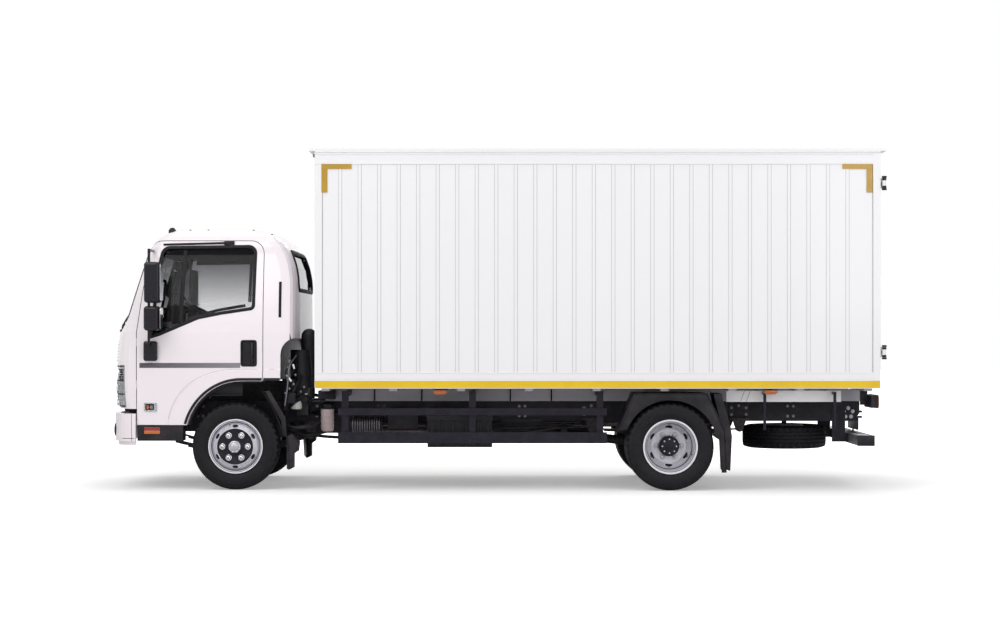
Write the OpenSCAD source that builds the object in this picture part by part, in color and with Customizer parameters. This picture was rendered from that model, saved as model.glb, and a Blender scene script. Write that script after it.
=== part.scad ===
// Light forward-control box truck.
// X points forward, Y to the left, Z up. The modules are drawn with X = 0 at the front axle and
// are moved at the end so that the origin lies on the ground under the middle of the truck.

/* [Running gear] */
// Front axle to rear axle
wheelbase = 3815; // [3100:5:4600]
// Front axle to the foremost point of the bumper
front_overhang = 1120; // [1080:5:1300]
// Rear axle to the rear face of the box
rear_overhang = 1825; // [1700:5:2300]
// Front track, between tyre centres
track_front = 1680; // [1560:5:1800]
// Rear track, between the middles of the twin wheels
track_rear = 1650; // [1500:5:1750]
// Tyre diameter
tyre_d = 767; // [700:1:930]
// Tyre width
tyre_w = 211; // [170:1:255]
// Rim diameter where the tyre sits
rim_d = 444; // [380:2:460]
// Free gap between twin tyres
twin_gap = 29; // [15:1:45]
// Wheel studs on each wheel
stud_count = 6; // [5:1:8]
// Diameter of the circle of studs
stud_pcd = 222.25; // [190:0.25:240]
// Largest steering angle each way
steer_max = 35; // [20:1:35]

/* [Frame] */
// Outer width of the frame
frame_w = 850; // [700:5:900]
// Depth of the frame rails
rail_h = 180; // [150:5:220]
// Width of the rail flanges
flange_w = 65; // [50:1:80]
// Plate thickness of rails and crossmembers
plate = 8; // [6:1:12]
// Wheel centre to the underside of the rails
axle_to_rail = 201.5; // [180:0.5:240]
// Height of the load-bed members that lie on the rails
bearer_h = 108; // [80:1:130]
// Radius of the hole for the draw bar pin
jaw_bore_r = 15.5; // [12:0.5:20]

/* [Box body] */
// Front axle to the front wall of the box
axle_to_box = 710; // [640:5:900]
// Outer width of the box
box_w = 2200; // [1900:10:2640]
// Outer height of the box walls
box_h = 2068; // [1700:4:2500]
// Thickness of side, front and rear walls
wall_t = 40; // [30:1:60]
// Thickness of the cargo floor
floor_t = 40; // [30:1:60]
// Overhang of the roof cap past the front and rear walls
roof_lip = 50; // [30:1:80]
// Distance between the upright ribs of the side panels
rib_pitch = 170; // [120:5:260]
// Width of the corner posts
post_w = 65; // [50:1:90]
// Height of the bottom rail of the side panels
base_rail_h = 140; // [110:1:160]
// Height of the top rail of the side panels
top_rail_h = 115; // [90:1:140]

/* [Cab] */
// Width of the cab at the belt line
cab_w = 2000; // [1840:10:2400]
// Thickness of the cab walls and doors
cab_wall = 50; // [40:1:70]
// Roof height above the lower edge of the doors
roof_h = 1721; // [1650:1:1900]
// Rear face of the cab behind the front axle
cab_rear = 535; // [480:5:560]
// Narrowing of the cab from belt line to eaves, each side
tumblehome = 112; // [40:1:160]
// Gap around the doors
door_gap = 6; // [5:0.5:10]
// Thickness of the window glass
glass_t = 6; // [4:1:8]

/* [Hidden] */
$fn = 48;

// General clearances
seat_gap = 0.3;        // parts that rest against each other
run_gap = 0.3;         // radial gap of pins and hubs

// Heights
axle_z = tyre_d / 2;
tyre_r = tyre_d / 2;
rail_z = axle_z + axle_to_rail;
rail_top = rail_z + rail_h;
bearer_top = rail_top + bearer_h;
cross_bearer_h = 70;
floor_z = bearer_top + cross_bearer_h;
floor_top = floor_z + floor_t;
box_z = bearer_top + 23;
box_top = box_z + box_h;
cap_t = 22;            // roof cap above the walls

// Places along the truck
rear_x = -wheelbase;
box_front = -axle_to_box;
box_rear = rear_x - rear_overhang;
frame_front = 1010;
frame_rear = box_rear + 69;
overall_len = front_overhang - box_rear + roof_lip;
origin_x = overall_len / 2 - front_overhang;

// Wheels and steering
wheel_offset = (tyre_w + twin_gap) / 2;
kingpin_y = track_front / 2 - tyre_w / 2 - 20;
steer_arm = 190;       // kingpin to the tie rod's eye
tie_rod_z = axle_z - 130;
spindle_r = 32;
pin_r = 18;
wheel_reach = tyre_r * cos(steer_max) + (track_front / 2 - kingpin_y + tyre_w / 2) * sin(steer_max);
step_rear = wheel_reach + 9;

// Cab shape: heights above the lower edge of the doors, places from the front axle
sill_z = rail_z - 11;
panel_h = 140;         // lower edge of the front panel
chin_h = 211;
bulge_h = 362;
cowl_h = 810;          // top edge of the front panel's face
screen_h = 913;        // foot of the windscreen
belt_h = 776;
eaves_h = roof_h - 215;
nose_x = 1108;         // foremost point of the front panel
door_front = 858;
door_rear = -245;
door_top = eaves_h + 110;
door_hinge_h = [320, 690];
notch_h = 766;         // lower edge of the cab's back
notch_x = -(cab_rear - 134);
side_bottom = axle_z + 586 - sill_z; // lower edge of the side panel behind the door
deck_h = 506;          // seat deck
floor_h = 246;         // foot well floor
riser_x = 340;         // step from foot well to seat deck
pillar_y = cab_w / 2 - 100; // seam between front panel and corner pillar
tilt_x = 1060;         // axis about which the cab tilts
tilt_z = rail_z + 105;
tilt_pin_r = 11;
tilt_eye_r = 18;
tilt_arm_y = [frame_w / 2 - 115, frame_w / 2 - 85];

// Wheel arch of the cab
arch_x = -60;
arch_z = axle_z + 46 - sill_z;
arch_a = tyre_r + 116;
arch_b = tyre_r + 146;
flare_a = arch_a + 145;
flare_b = arch_b + 88;

// Rear doors
hinge_out = 10;        // hinge line outside the side wall
hinge_back = 30;       // hinge line behind the rear face
leaf_gap = 5;
leaf_z = box_z + 60;
leaf_top = box_top - top_rail_h - leaf_gap;
hinge_heights = [box_z + 317, box_top - 279];

// ---------- helpers ----------

module both_sides() {
    children();
    mirror([0, 1, 0]) children();
}

// Box from its lowest to its highest corner
module block(low, high) {
    translate(low) cube(high - low);
}

// Round bar between two points
module bar(from, to, r) {
    d = to - from;
    translate(from)
        rotate([0, acos(d[2] / norm(d)), atan2(d[1], d[0])])
            cylinder(r = r, h = norm(d));
}

// Profile drawn in X and Z, extruded from y0 to y1
module side_plate(y0, y1) {
    translate([0, y1, 0]) rotate([90, 0, 0]) linear_extrude(y1 - y0) children();
}

// Profile drawn in Y and Z, extruded from x0 to x1
module cross_plate(x0, x1) {
    translate([x0, 0, 0]) rotate([90, 0, 90]) linear_extrude(x1 - x0) children();
}

// Revolved about the Y axis: the profile is drawn as [radius, y]
module turned_on_y() {
    rotate([-90, 0, 0]) rotate_extrude($fn = 96) children();
}

function arc(cx, cz, r, from, to, steps = 6) =
    [for (i = [0:steps]) [cx + r * cos(from + (to - from) * i / steps),
                          cz + r * sin(from + (to - from) * i / steps)]];

// ---------- frame ----------

// Outer form of the rails, with their slanted rear ends
module rail_blanks() {
    both_sides() side_plate(frame_w / 2 - flange_w, frame_w / 2)
        polygon([[frame_rear, rail_z + 70], [frame_rear + 60, rail_z], [frame_front, rail_z],
                 [frame_front, rail_top], [frame_rear, rail_top]]);
}

// The rails are channels: the hollow side faces inwards
module frame_rails() {
    color("#1d1a22") difference() {
        rail_blanks();
        both_sides() side_plate(frame_w / 2 - flange_w - 1, frame_w / 2 - plate)
            polygon([[frame_rear - 1, rail_z + plate], [frame_front + 1, rail_z + plate],
                     [frame_front + 1, rail_top - plate], [frame_rear - 1, rail_top - plate]]);
    }
}

cross_half = frame_w / 2 - plate;
cross_places = [frame_front - 85, -1250, rear_x + 1290, rear_x + 640, rear_x - 660, rear_x - 1132,
                frame_rear + 75];

module crossmember(x) {
    difference() {
        block([x - 35, -cross_half, rail_z + plate], [x + 35, cross_half, rail_top - plate]);
        block([x - 36, -cross_half - 1, rail_z + 3 * plate],
              [x + 35 - plate, cross_half + 1, rail_top - 3 * plate]);
    }
}

spare_x = rear_x - 1132;
spare_z = rail_z - 105;
spare_hang_r = 22;
bar_rear = frame_rear - 42; // rear face of the underrun bar
jaw_z = rail_z + 12;
jaw_t = 18;
jaw_w = 90;
jaw_gap = 50;          // from one ear to the next
jaw_x = bar_rear - jaw_bore_r - 5; // the pin drops clear behind the underrun bar

module crossmembers() {
    color("#1d1a22") {
        for (x = cross_places) crossmember(x);
        // Winch tube that carries the spare wheel
        translate([spare_x, 0, spare_z + 60]) cylinder(r = spare_hang_r, h = rail_z - spare_z - 50);
        translate([spare_x, 0, spare_z + 48]) cylinder(r = 105, h = 12);
        // Draw bar jaw behind the last crossmember
        difference() {
            union() for (z = [jaw_z, jaw_z + jaw_gap])
                block([jaw_x - 27, -jaw_w / 2, z], [frame_rear + 110 - plate + 1, jaw_w / 2, z + jaw_t]);
            translate([jaw_x, 0, jaw_z - 1]) cylinder(r = jaw_bore_r, h = jaw_gap + jaw_t + 2);
        }
        both_sides() {
            // Cheeks and pin on which the cab tilts
            for (y = [tilt_arm_y[0] - 13, tilt_arm_y[1] + 1]) side_plate(y, y + 12)
                polygon(concat([[frame_front - 60, tilt_z + tilt_eye_r], [frame_front - 60, rail_z + 50]],
                               arc(tilt_x, tilt_z, tilt_eye_r, -100, 90, 10)));
            translate([tilt_x, tilt_arm_y[0] - 13, tilt_z]) rotate([-90, 0, 0])
                cylinder(r = tilt_pin_r, h = tilt_arm_y[1] - tilt_arm_y[0] + 26);
            // Rests under the back of the cab
            block([notch_x + 6, frame_w / 2 - 60, rail_top + seat_gap],
                  [notch_x + 44, frame_w / 2 - 5, sill_z + side_bottom - seat_gap]);
        }
    }
}

// ---------- axles and springs ----------

beam_z = axle_z - 141;
beam_h = 76;
spring_y_front = frame_w / 2 - flange_w / 2;
spring_y_rear = frame_w / 2 + 45;
leaf_t = 13;
leaf_w = 64;
eye_r = 26;

module front_axle() {
    color("#26242b") difference() {
        union() {
            both_sides() cross_plate(-30, 30)
                polygon([[0, beam_z - beam_h / 2], [spring_y_front + 60, beam_z - beam_h / 2],
                         [kingpin_y - 45, axle_z - 48], [kingpin_y, axle_z - 48],
                         [kingpin_y, axle_z + 44], [kingpin_y - 34, axle_z + 44],
                         [spring_y_front + 46, beam_z + beam_h / 2], [0, beam_z + beam_h / 2]]);
            both_sides() translate([0, kingpin_y, axle_z - 48]) cylinder(r = 34, h = 96);
        }
        both_sides() translate([0, kingpin_y, axle_z - 100]) cylinder(r = pin_r + run_gap, h = 200);
    }
}

// Stack of leaves between two eyes; sag is the drop of the middle below the eyes
module leaf_pack(x0, x1, eye_z, sag, leaves, y) {
    half = (x1 - x0) / 2;
    mid = (x0 + x1) / 2;
    big_r = (half * half + sag * sag) / (2 * sag);
    side_plate(y - leaf_w / 2, y + leaf_w / 2) {
        for (i = [0:leaves - 1]) {
            reach = half * (1 - i * 0.17);
            intersection() {
                translate([mid, eye_z - sag + big_r]) difference() {
                    circle(r = big_r + (i + 1) * leaf_t, $fn = 200);
                    circle(r = big_r + i * leaf_t, $fn = 200);
                }
                translate([mid - reach, eye_z - sag - 200]) square([2 * reach, 400]);
            }
        }
        for (x = [x0, x1]) translate([x, eye_z]) difference() {
            circle(r = eye_r);
            circle(r = 12);
        }
    }
}

front_eye_z = rail_z - 132;
front_sag = front_eye_z - (beam_z + beam_h / 2) - 4 * leaf_t - 12;
rear_eye_z = rail_z - 62;
rear_sag = rear_eye_z - (axle_z + 62) - 5 * leaf_t - 6;
front_eyes = [720, -620];
rear_eyes = [rear_x + 665, rear_x - 665];

// Bracket from the frame down to a spring eye, as two cheeks
module hanger(x, eye_z, y, top_z) {
    for (s = [-1, 1]) side_plate(y + s * (leaf_w / 2 + 6) - 5, y + s * (leaf_w / 2 + 6) + 5)
        polygon(concat([[x + 60, top_z], [x - 60, top_z]], arc(x, eye_z, 32, 190, 350, 8)));
    translate([x, y - leaf_w / 2 - 18, eye_z]) rotate([-90, 0, 0])
        cylinder(r = 12 - run_gap, h = leaf_w + 36);
}

module leaf_springs() {
    color("#26242b") both_sides() {
        leaf_pack(front_eyes[1], front_eyes[0], front_eye_z, front_sag, 4, spring_y_front);
        leaf_pack(rear_eyes[1], rear_eyes[0], rear_eye_z, rear_sag, 5, spring_y_rear);
        for (x = front_eyes) hanger(x, front_eye_z, spring_y_front, rail_z - seat_gap);
        // The rear hangers reach up the outside of the rails
        for (x = rear_eyes) {
            hanger(x, rear_eye_z, spring_y_rear, rail_z + 20);
            block([x - 90, frame_w / 2 + seat_gap, rail_z + 15],
                  [x + 90, spring_y_rear + leaf_w / 2 + 11, rail_z + 32]);
            block([x - 90, frame_w / 2 + seat_gap, rail_z + 15],
                  [x + 90, frame_w / 2 + 12, rail_top - 20]);
        }
        // Clamp plates and pads that hold the springs to the axles
        block([-70, spring_y_front - 44, beam_z + beam_h / 2 + seat_gap],
              [70, spring_y_front + 44, front_eye_z - front_sag - 4 * leaf_t + 3]);
        block([rear_x - 75, spring_y_rear - 44, axle_z + 60 + seat_gap],
              [rear_x + 75, spring_y_rear + 44, rear_eye_z - rear_sag - 5 * leaf_t + 3]);
        for (x = [-45, 45]) for (s = [-1, 1])
            translate([x, spring_y_front + s * 38, beam_z + beam_h / 2 + 5])
                cylinder(r = 7, h = 4 * leaf_t + 35);
        for (x = [rear_x - 50, rear_x + 50]) for (s = [-1, 1])
            translate([x, spring_y_rear + s * 38, axle_z + 65]) cylinder(r = 8, h = 5 * leaf_t + 35);
        block([-65, spring_y_front - 44, front_eye_z - front_sag - 3],
              [65, spring_y_front + 44, front_eye_z - front_sag + 12]);
        block([rear_x - 70, spring_y_rear - 44, rear_eye_z - rear_sag - 3],
              [rear_x + 70, spring_y_rear + 44, rear_eye_z - rear_sag + 12]);
    }
}

drum_r = 165;
hub_in_rear = track_rear / 2 - wheel_offset - tyre_w / 2 + 45; // inner end of the rear drums
axle_tip = track_rear / 2 + 70;

module rear_axle() {
    color("#26242b") translate([rear_x, 0, axle_z]) {
        rotate([-90, 0, 0]) translate([0, 0, -hub_in_rear + 8]) cylinder(r = 60, h = 2 * hub_in_rear - 16);
        rotate([-90, 0, 0]) translate([0, 0, -axle_tip]) cylinder(r = spindle_r, h = 2 * axle_tip);
        turned_on_y() intersection() {
            scale([1, 1.15]) circle(r = 168, $fn = 96);
            translate([0, -200]) square([170, 400]);
        }
        // Nose of the differential
        rotate([0, 90, 0]) cylinder(r = 70, h = 300);
    }
}

// ---------- engine and driveline ----------

shaft_z = rail_z - 62;

module engine() {
    color("#4a4a4f") {
        block([-560, -300, rail_z - 150], [300, 300, sill_z + side_bottom - 35]);
        block([-1060, -170, rail_z - 120], [-560, 170, rail_z + 190]);
        // Mounts that rest against the rails
        for (x = [-420, 120]) block([x - 40, -cross_half + seat_gap, rail_z + 40],
                                    [x + 40, cross_half - seat_gap, rail_z + 110]);
    }
}

module propeller_shaft() {
    color("#2c2a30") {
        bar([-1060 - seat_gap, 0, shaft_z], [-2350, 0, shaft_z - 8], 42);
        bar([-2345, 0, shaft_z - 8], [rear_x + 312, 0, axle_z + 2], 42);
        translate([rear_x + 300 + seat_gap, 0, axle_z + 2]) rotate([0, 90, 0]) cylinder(r = 62, h = 24);
        translate([-1090, 0, shaft_z]) rotate([0, 90, 0]) cylinder(r = 62, h = 24);
        translate([-2360, 0, shaft_z - 8]) rotate([0, 90, 0]) cylinder(r = 62, h = 30);
    }
}

exhaust_y = -(frame_w / 2 - 210);
exhaust_z = rail_z - 100;
tail_z = rail_z - 45;  // the tailpipe passes over the rear axle
pipe_r = 28;

module exhaust() {
    color("#5d5550") {
        bar([-560 - seat_gap, exhaust_y, exhaust_z], [-1425, exhaust_y, exhaust_z], pipe_r);
        translate([-1420, exhaust_y, exhaust_z]) rotate([0, -90, 0]) cylinder(r = 85, h = 620);
        bar([-2035, exhaust_y, exhaust_z], [rear_x + 400, exhaust_y, tail_z], pipe_r);
        bar([rear_x + 410, exhaust_y, tail_z], [rear_x - 390, exhaust_y, tail_z], pipe_r + 3);
        bar([rear_x - 370, exhaust_y, tail_z], [rear_x - 570, exhaust_y, exhaust_z - 80], pipe_r);
        // Hangers under the right-hand rail
        for (x = [-1560, -1900])
            block([x - 15, -frame_w / 2 + 25, rail_z - 30], [x + 15, exhaust_y + 15, rail_z - seat_gap]);
    }
}

// Fuel tank on the right, batteries on the left
tank_x = [-1700, -2500];
tank_y = [frame_w / 2 + 25, frame_w / 2 + 445];

module fuel_tank() {
    color("#2b2930") {
        translate([0, -tank_y[1], 0]) side_plate(0, tank_y[1] - tank_y[0])
            offset(r = 40) offset(delta = -40)
                polygon([[tank_x[1], rail_z - 110], [tank_x[0], rail_z - 110],
                         [tank_x[0], rail_z + 150], [tank_x[1], rail_z + 150]]);
        for (x = [tank_x[0] - 180, tank_x[1] + 180])
            block([x - 30, -tank_y[0] - 10, rail_z - 60], [x + 30, -frame_w / 2 - seat_gap, rail_z + 140]);
    }
}

module battery_box() {
    color("#2b2930") {
        block([-2255, frame_w / 2 + 60, rail_z - 215], [-1684, frame_w / 2 + 400, rail_z + 60]);
        for (x = [-2150, -1790])
            block([x - 30, frame_w / 2 + seat_gap, rail_z + 10], [x + 30, frame_w / 2 + 62, rail_z + 130]);
    }
}

// Canister low behind the cab, with an intake duct between the cab and the box
module air_cleaner() {
    duct_x = -(cab_rear + axle_to_box) / 2;
    y = frame_w / 2 + 220;
    color("#222027") {
        translate([duct_x + 62, y, rail_z + 310]) cylinder(r = 105, h = 335);
        translate([duct_x, y, rail_z + 400]) cylinder(r = 70, h = 365);
        translate([duct_x, y, rail_z + 765]) sphere(r = 70);
        // Bracket down to the rail
        block([duct_x + 12, y - 60, rail_z + 190], [duct_x + 112, y + 60, rail_z + 311]);
        block([duct_x + 12, frame_w / 2 + seat_gap, rail_z + 60], [duct_x + 112, y - 30, rail_z + 200]);
    }
}

// ---------- bumper ----------

bumper_z = [rail_z - 192, rail_z + 88];
bumper_rear = door_front + 10;

// Outline in plan of the front of the cab or bumper: a rounded, slightly bowed front
function front_plan(half, x, depth, steps = 12) =
    [for (i = [-steps:steps]) let (a = 90 * i / steps)
        [x - depth + depth * sqrt(cos(a)), half * sign(a) * sqrt(abs(sin(a)))]];

module bumper_plan(inset) {
    polygon(concat([[bumper_rear - 300, -cab_w / 2 + inset]],
                   front_plan(cab_w / 2 - inset, front_overhang - inset, 400),
                   [[bumper_rear - 300, cab_w / 2 - inset]]));
}

module front_bumper() {
    color("#f2f0f1") intersection() {
        union() {
            translate([0, 0, bumper_z[0] + 37]) linear_extrude(bumper_z[1] - bumper_z[0] - 37)
                difference() {
                    bumper_plan(0);
                    bumper_plan(40);
                }
            translate([0, 0, bumper_z[0]]) linear_extrude(38) difference() {
                bumper_plan(20);
                bumper_plan(40);
            }
        }
        block([bumper_rear, -cab_w / 2 - 1, 0], [front_overhang + 1, cab_w / 2 + 1, rail_top]);
    }
    // Brackets from the ends of the rails
    color("#1d1a22") both_sides()
        block([frame_front + seat_gap, frame_w / 2 - 55, rail_z + 4], [front_overhang - 38, frame_w / 2, rail_z + 60]);
}

// ---------- box body ----------

bearer_y = frame_w / 2 - flange_w / 2;
cross_count = 9;

module floor_bearers() {
    color("#c9c9cf") {
        both_sides() block([box_rear + wall_t, bearer_y - 35, rail_top + seat_gap],
                           [box_front - wall_t, bearer_y + 35, bearer_top - seat_gap]);
        first = box_front - 90;
        last = box_rear + wall_t + 60 + seat_gap;
        for (i = [0:cross_count - 1]) {
            x = first + (last - first) * i / (cross_count - 1);
            block([x - 35, -box_w / 2 + wall_t + 8, bearer_top],
                  [x + 35, box_w / 2 - wall_t - 8, floor_z - seat_gap]);
        }
    }
}

module cargo_floor() {
    color("#8a7a66") block([box_rear + wall_t + 25, -box_w / 2 + wall_t + seat_gap, floor_z],
                           [box_front - wall_t - seat_gap, box_w / 2 - wall_t - seat_gap, floor_top]);
}

skin_in = 6;           // the panel skin lies this far inside the rails and posts
rib_w = 26;

module box_side() {
    y1 = box_w / 2;
    y0 = y1 - wall_t;
    x0 = box_rear + wall_t + 25 + seat_gap;
    block([x0, y0, box_z], [box_front, y1 - skin_in, box_top]);
    block([x0, y0, box_z], [box_front, y1, box_z + base_rail_h]);
    block([x0, y0, box_top - top_rail_h], [box_front, y1, box_top]);
    block([box_front - post_w, y0, box_z], [box_front, y1, box_top]);
    ribs = floor((box_front - x0 - 2 * post_w) / rib_pitch);
    first = box_front - (box_front - x0 - (ribs - 1) * rib_pitch) / 2;
    for (i = [0:ribs - 1])
        block([first - i * rib_pitch - rib_w / 2, y0, box_z + base_rail_h - 1],
              [first - i * rib_pitch + rib_w / 2, y1 - 2, box_top - top_rail_h + 1]);
}

module box_side_left() {
    color("#f4f2f3") box_side();
}

module box_side_right() {
    color("#f4f2f3") mirror([0, 1, 0]) box_side();
}

module box_front_wall() {
    color("#f4f2f3") {
        block([box_front - wall_t, -box_w / 2 + wall_t + seat_gap, box_z],
              [box_front, box_w / 2 - wall_t - seat_gap, box_top]);
    }
}

module box_roof() {
    color("#f4f2f3") {
        // Cap that flares past the walls
        block([box_rear - roof_lip, -box_w / 2 - 10, box_top + seat_gap],
              [box_front + roof_lip, box_w / 2 + 10, box_top + cap_t]);
        // Roof panel between the walls
        block([box_rear + wall_t + 26, -box_w / 2 + wall_t + 1, box_top - 28],
              [box_front - wall_t - 1, box_w / 2 - wall_t - 1, box_top + cap_t]);
    }
}

module rear_door_frame() {
    color("#f4f2f3") {
        difference() {
            block([box_rear, -box_w / 2, box_z], [box_rear + wall_t + 25, box_w / 2, box_top]);
            block([box_rear - 1, -box_w / 2 + post_w, leaf_z - leaf_gap],
                  [box_rear + wall_t + 26, box_w / 2 - post_w, box_top - top_rail_h]);
        }
        // Hinge brackets with their pins
        both_sides() for (z = hinge_heights) translate([box_rear - hinge_back, box_w / 2 + hinge_out, z]) {
            cylinder(r = 9, h = 88, center = true);
            for (s = [-1, 1]) translate([0, 0, s * 34]) {
                cylinder(r = 14, h = 20, center = true);
                block([-8, -52, -10], [8, 4, 10]);
                block([-8, -52, -10], [hinge_back + 0.5, -30, 10]);
            }
        }
    }
}

module rear_door() {
    color("#f4f2f3") {
        block([box_rear, leaf_gap / 2, leaf_z], [box_rear + wall_t, box_w / 2 - post_w - leaf_gap, leaf_top]);
        for (z = hinge_heights) translate([box_rear - hinge_back, box_w / 2 + hinge_out, z]) {
            difference() {
                union() {
                    cylinder(r = 15, h = 46, center = true);
                    block([2, -230, -23], [15, 0, 23]);
                    block([2, -230, -23], [hinge_back, -post_w - 35, 23]);
                }
                cylinder(r = 9 + run_gap, h = 60, center = true);
            }
        }
    }
}

module rear_door_left() {
    rear_door();
}

module rear_door_right() {
    mirror([0, 1, 0]) rear_door();
}

// ---------- guards, mudguards, spare wheel ----------

guard_y = box_w / 2 - 110;
guard_front = box_front - 257;
guard_rear = rear_x + 614;
guard_mid = (guard_front + guard_rear) / 2;

module side_guards() {
    color("#1d1a22") both_sides() {
        for (x = [guard_front, guard_mid, guard_rear])
            block([x - 30, guard_y - 30, rail_z - 171], [x + 30, guard_y, bearer_top - seat_gap]);
        for (z = [rail_z - 171, rail_z + 75])
            block([guard_rear - 60, guard_y + seat_gap, z],
                  [guard_front + 60, guard_y + 25, z + (z < rail_z ? 97 : 61)]);
        // Arms that hang the posts from the floor members
        for (x = [guard_front, guard_mid, guard_rear])
            block([x - 20, bearer_y + 35 + seat_gap, bearer_top - 50],
                  [x + 20, guard_y - 30 - seat_gap, bearer_top - 12]);
        // Thin marker posts behind the rear wheels
        for (x = [rear_x - 831, rear_x - 1445]) {
            block([x - 12, guard_y - 24, rail_z - 55], [x + 12, guard_y, bearer_top - 10]);
            block([x - 12, bearer_y + 35 + seat_gap, bearer_top - 34],
                  [x + 12, guard_y - 24 - seat_gap, bearer_top - 12]);
        }
    }
}

twin_in = track_rear / 2 - wheel_offset - tyre_w / 2;
twin_out = track_rear / 2 + wheel_offset + tyre_w / 2;
guard_t = 5;

function left_of(v) = [-v[1], v[0]] / norm(v);

// Bent sheet: a path of points in X and Z, given a thickness with mitred bends
module sheet_path(points, t) {
    last = len(points) - 1;
    polygon(concat(points, [for (i = [last:-1:0])
        let (n0 = left_of(points[max(i, 1)] - points[max(i, 1) - 1]),
             n1 = left_of(points[min(i, last - 1) + 1] - points[min(i, last - 1)]))
        points[i] + t * (n0 + n1) / (1 + n0 * n1)]));
}

rear_guard_path = [[rear_x + tyre_r + 75, axle_z + 140], [rear_x + tyre_r - 62, bearer_top - 22],
    [rear_x - tyre_r + 65, bearer_top - 22], [rear_x - tyre_r - 85, axle_z + 150],
    [rear_x - tyre_r - 105, axle_z - 223]];
front_guard_path = [[-240, sill_z + 298], [-320, sill_z + 180], [-(wheel_reach - 18), sill_z - 72],
    [-(wheel_reach + 8), sill_z - 95], [-(wheel_reach + 26), sill_z - 359]];

module mudguards() {
    color("#1d1a22") both_sides() {
        side_plate(twin_in - 10, twin_out + 10) sheet_path(rear_guard_path, guard_t);
        for (x = [rear_x + 180, rear_x - 180])
            block([x - 15, bearer_y + 35, bearer_top - 50], [x + 15, twin_out, bearer_top - 22 - guard_t]);
        side_plate(frame_w / 2 + 110, track_front / 2 + tyre_w / 2 + 15) sheet_path(front_guard_path, guard_t);
        block([-386, frame_w / 2 + seat_gap, sill_z + 55], [-352, frame_w / 2 + 112, sill_z + 95]);
    }
}

// ---------- wheels ----------

tread_half = tyre_w / 2 - 20;

// Half profile of a tyre as [radius, offset]
module tyre_profile() {
    r0 = rim_d / 2 + seat_gap;
    r1 = tyre_r;
    w = tyre_w / 2;
    b = w * 0.72;
    polygon(concat(
        [[r0, -b], [r0 + 14, -b - 3]],
        [for (a = [-60:20:60]) [r0 + (r1 - r0) * (0.48 + 0.34 * sin(a)), -w + 14 * (1 - cos(a))]],
        [[r1 - 10, -tread_half - 3], [r1 - 3, -tread_half + 6], [r1, 0], [r1 - 3, tread_half - 6],
         [r1 - 10, tread_half + 3]],
        [for (a = [60:-20:-60]) [r0 + (r1 - r0) * (0.48 + 0.34 * sin(a)), w - 14 * (1 - cos(a))]],
        [[r0 + 14, b + 3], [r0, b]]));
}

// Rim and disc; the disc stands towards the side given by out
module rim_profile() {
    r = rim_d / 2;
    b = tyre_w / 2 * 0.72;
    polygon([[r, -b], [r + 14, -b - 5], [r + 14, -b - 15], [r + 4, -b - 15], [r - 10, -b + 8],
             [r - 16, -40], [r - 16, 24], [r - 38, wheel_offset - 44], [r - 70, wheel_offset - 12],
             [40, wheel_offset - 12], [40, wheel_offset], [r - 66, wheel_offset],
             [r - 30, wheel_offset - 34], [r - 12, 52], [r - 10, b - 8], [r + 4, b + 15],
             [r + 14, b + 15], [r + 14, b + 5], [r, b], [r - 2, b - 10], [r - 8, b - 20],
             [r - 8, -b + 20], [r - 2, -b + 10]]);
}

hand_hole_r = 178;

module rim() {
    difference() {
        turned_on_y() rim_profile();
        for (i = [0:stud_count - 1]) rotate([0, (i + 0.5) * 360 / stud_count, 0])
            translate([hand_hole_r - 4, 0, 0]) rotate([-90, 0, 0]) cylinder(r = 17, h = 300);
    }
}

module tyre() {
    turned_on_y() tyre_profile();
}

// Nuts are plain stubs on the face of the disc
module wheel_nuts(y0, y1) {
    for (i = [0:stud_count - 1]) rotate([0, i * 360 / stud_count, 0])
        translate([stud_pcd / 2, y0, 0]) rotate([-90, 0, 0]) cylinder(r = 17, h = y1 - y0);
}

module front_wheel() {
    color("#c8c8cc") translate([0, track_front / 2, axle_z]) {
        rim();
        wheel_nuts(wheel_offset - 1, wheel_offset + 24);
        // Hub and brake drum, running on the spindle
        turned_on_y() polygon([[spindle_r + run_gap, -60], [75, -60], [75, 20], [drum_r - 14, 28],
            [drum_r - 14, -55], [drum_r, -55], [drum_r, 42], [80, 46], [80, wheel_offset - 12],
            [120, wheel_offset - 12], [120, wheel_offset - 11], [52, wheel_offset - 11],
            [52, wheel_offset + 34], [0, wheel_offset + 34], [0, wheel_offset + 20],
            [spindle_r + run_gap, wheel_offset + 20]]);
    }
}

module rear_wheels() {
    color("#c8c8cc") translate([rear_x, track_rear / 2, axle_z]) {
        translate([0, -wheel_offset, 0]) rim();
        translate([0, wheel_offset, 0]) mirror([0, 1, 0]) rim();
        wheel_nuts(11, 38);
        inner = hub_in_rear - track_rear / 2;
        turned_on_y() polygon([[spindle_r + run_gap, inner + 20], [60, inner + 20], [60, -60],
            [drum_r - 14, -68], [drum_r - 14, inner], [drum_r, inner], [drum_r, -56], [82, -46],
            [82, -12], [120, -12], [120, -11.5], [82, -11.5], [82, 78], [70, 92], [0, 92], [0, 76],
            [spindle_r + run_gap, 76]]);
    }
}

module front_wheel_left() {
    front_wheel();
}

module front_wheel_right() {
    mirror([0, 1, 0]) front_wheel();
}

module rear_wheels_left() {
    rear_wheels();
}

module rear_wheels_right() {
    mirror([0, 1, 0]) rear_wheels();
}

module front_tyre(side) {
    color("#222126") translate([0, side * track_front / 2, axle_z]) tyre();
}

module rear_tyres(side) {
    color("#222126") for (s = [-1, 1])
        translate([rear_x, side * (track_rear / 2 + s * wheel_offset), axle_z]) tyre();
}

module spare_wheel() {
    color("#222126")
        translate([spare_x, 0, spare_z + 72 - wheel_offset + seat_gap]) rotate([90, 0, 0]) {
            tyre();
            rim();
        }
}

// ---------- steering ----------

ear_z = 52;
ear_t = 26;

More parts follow.
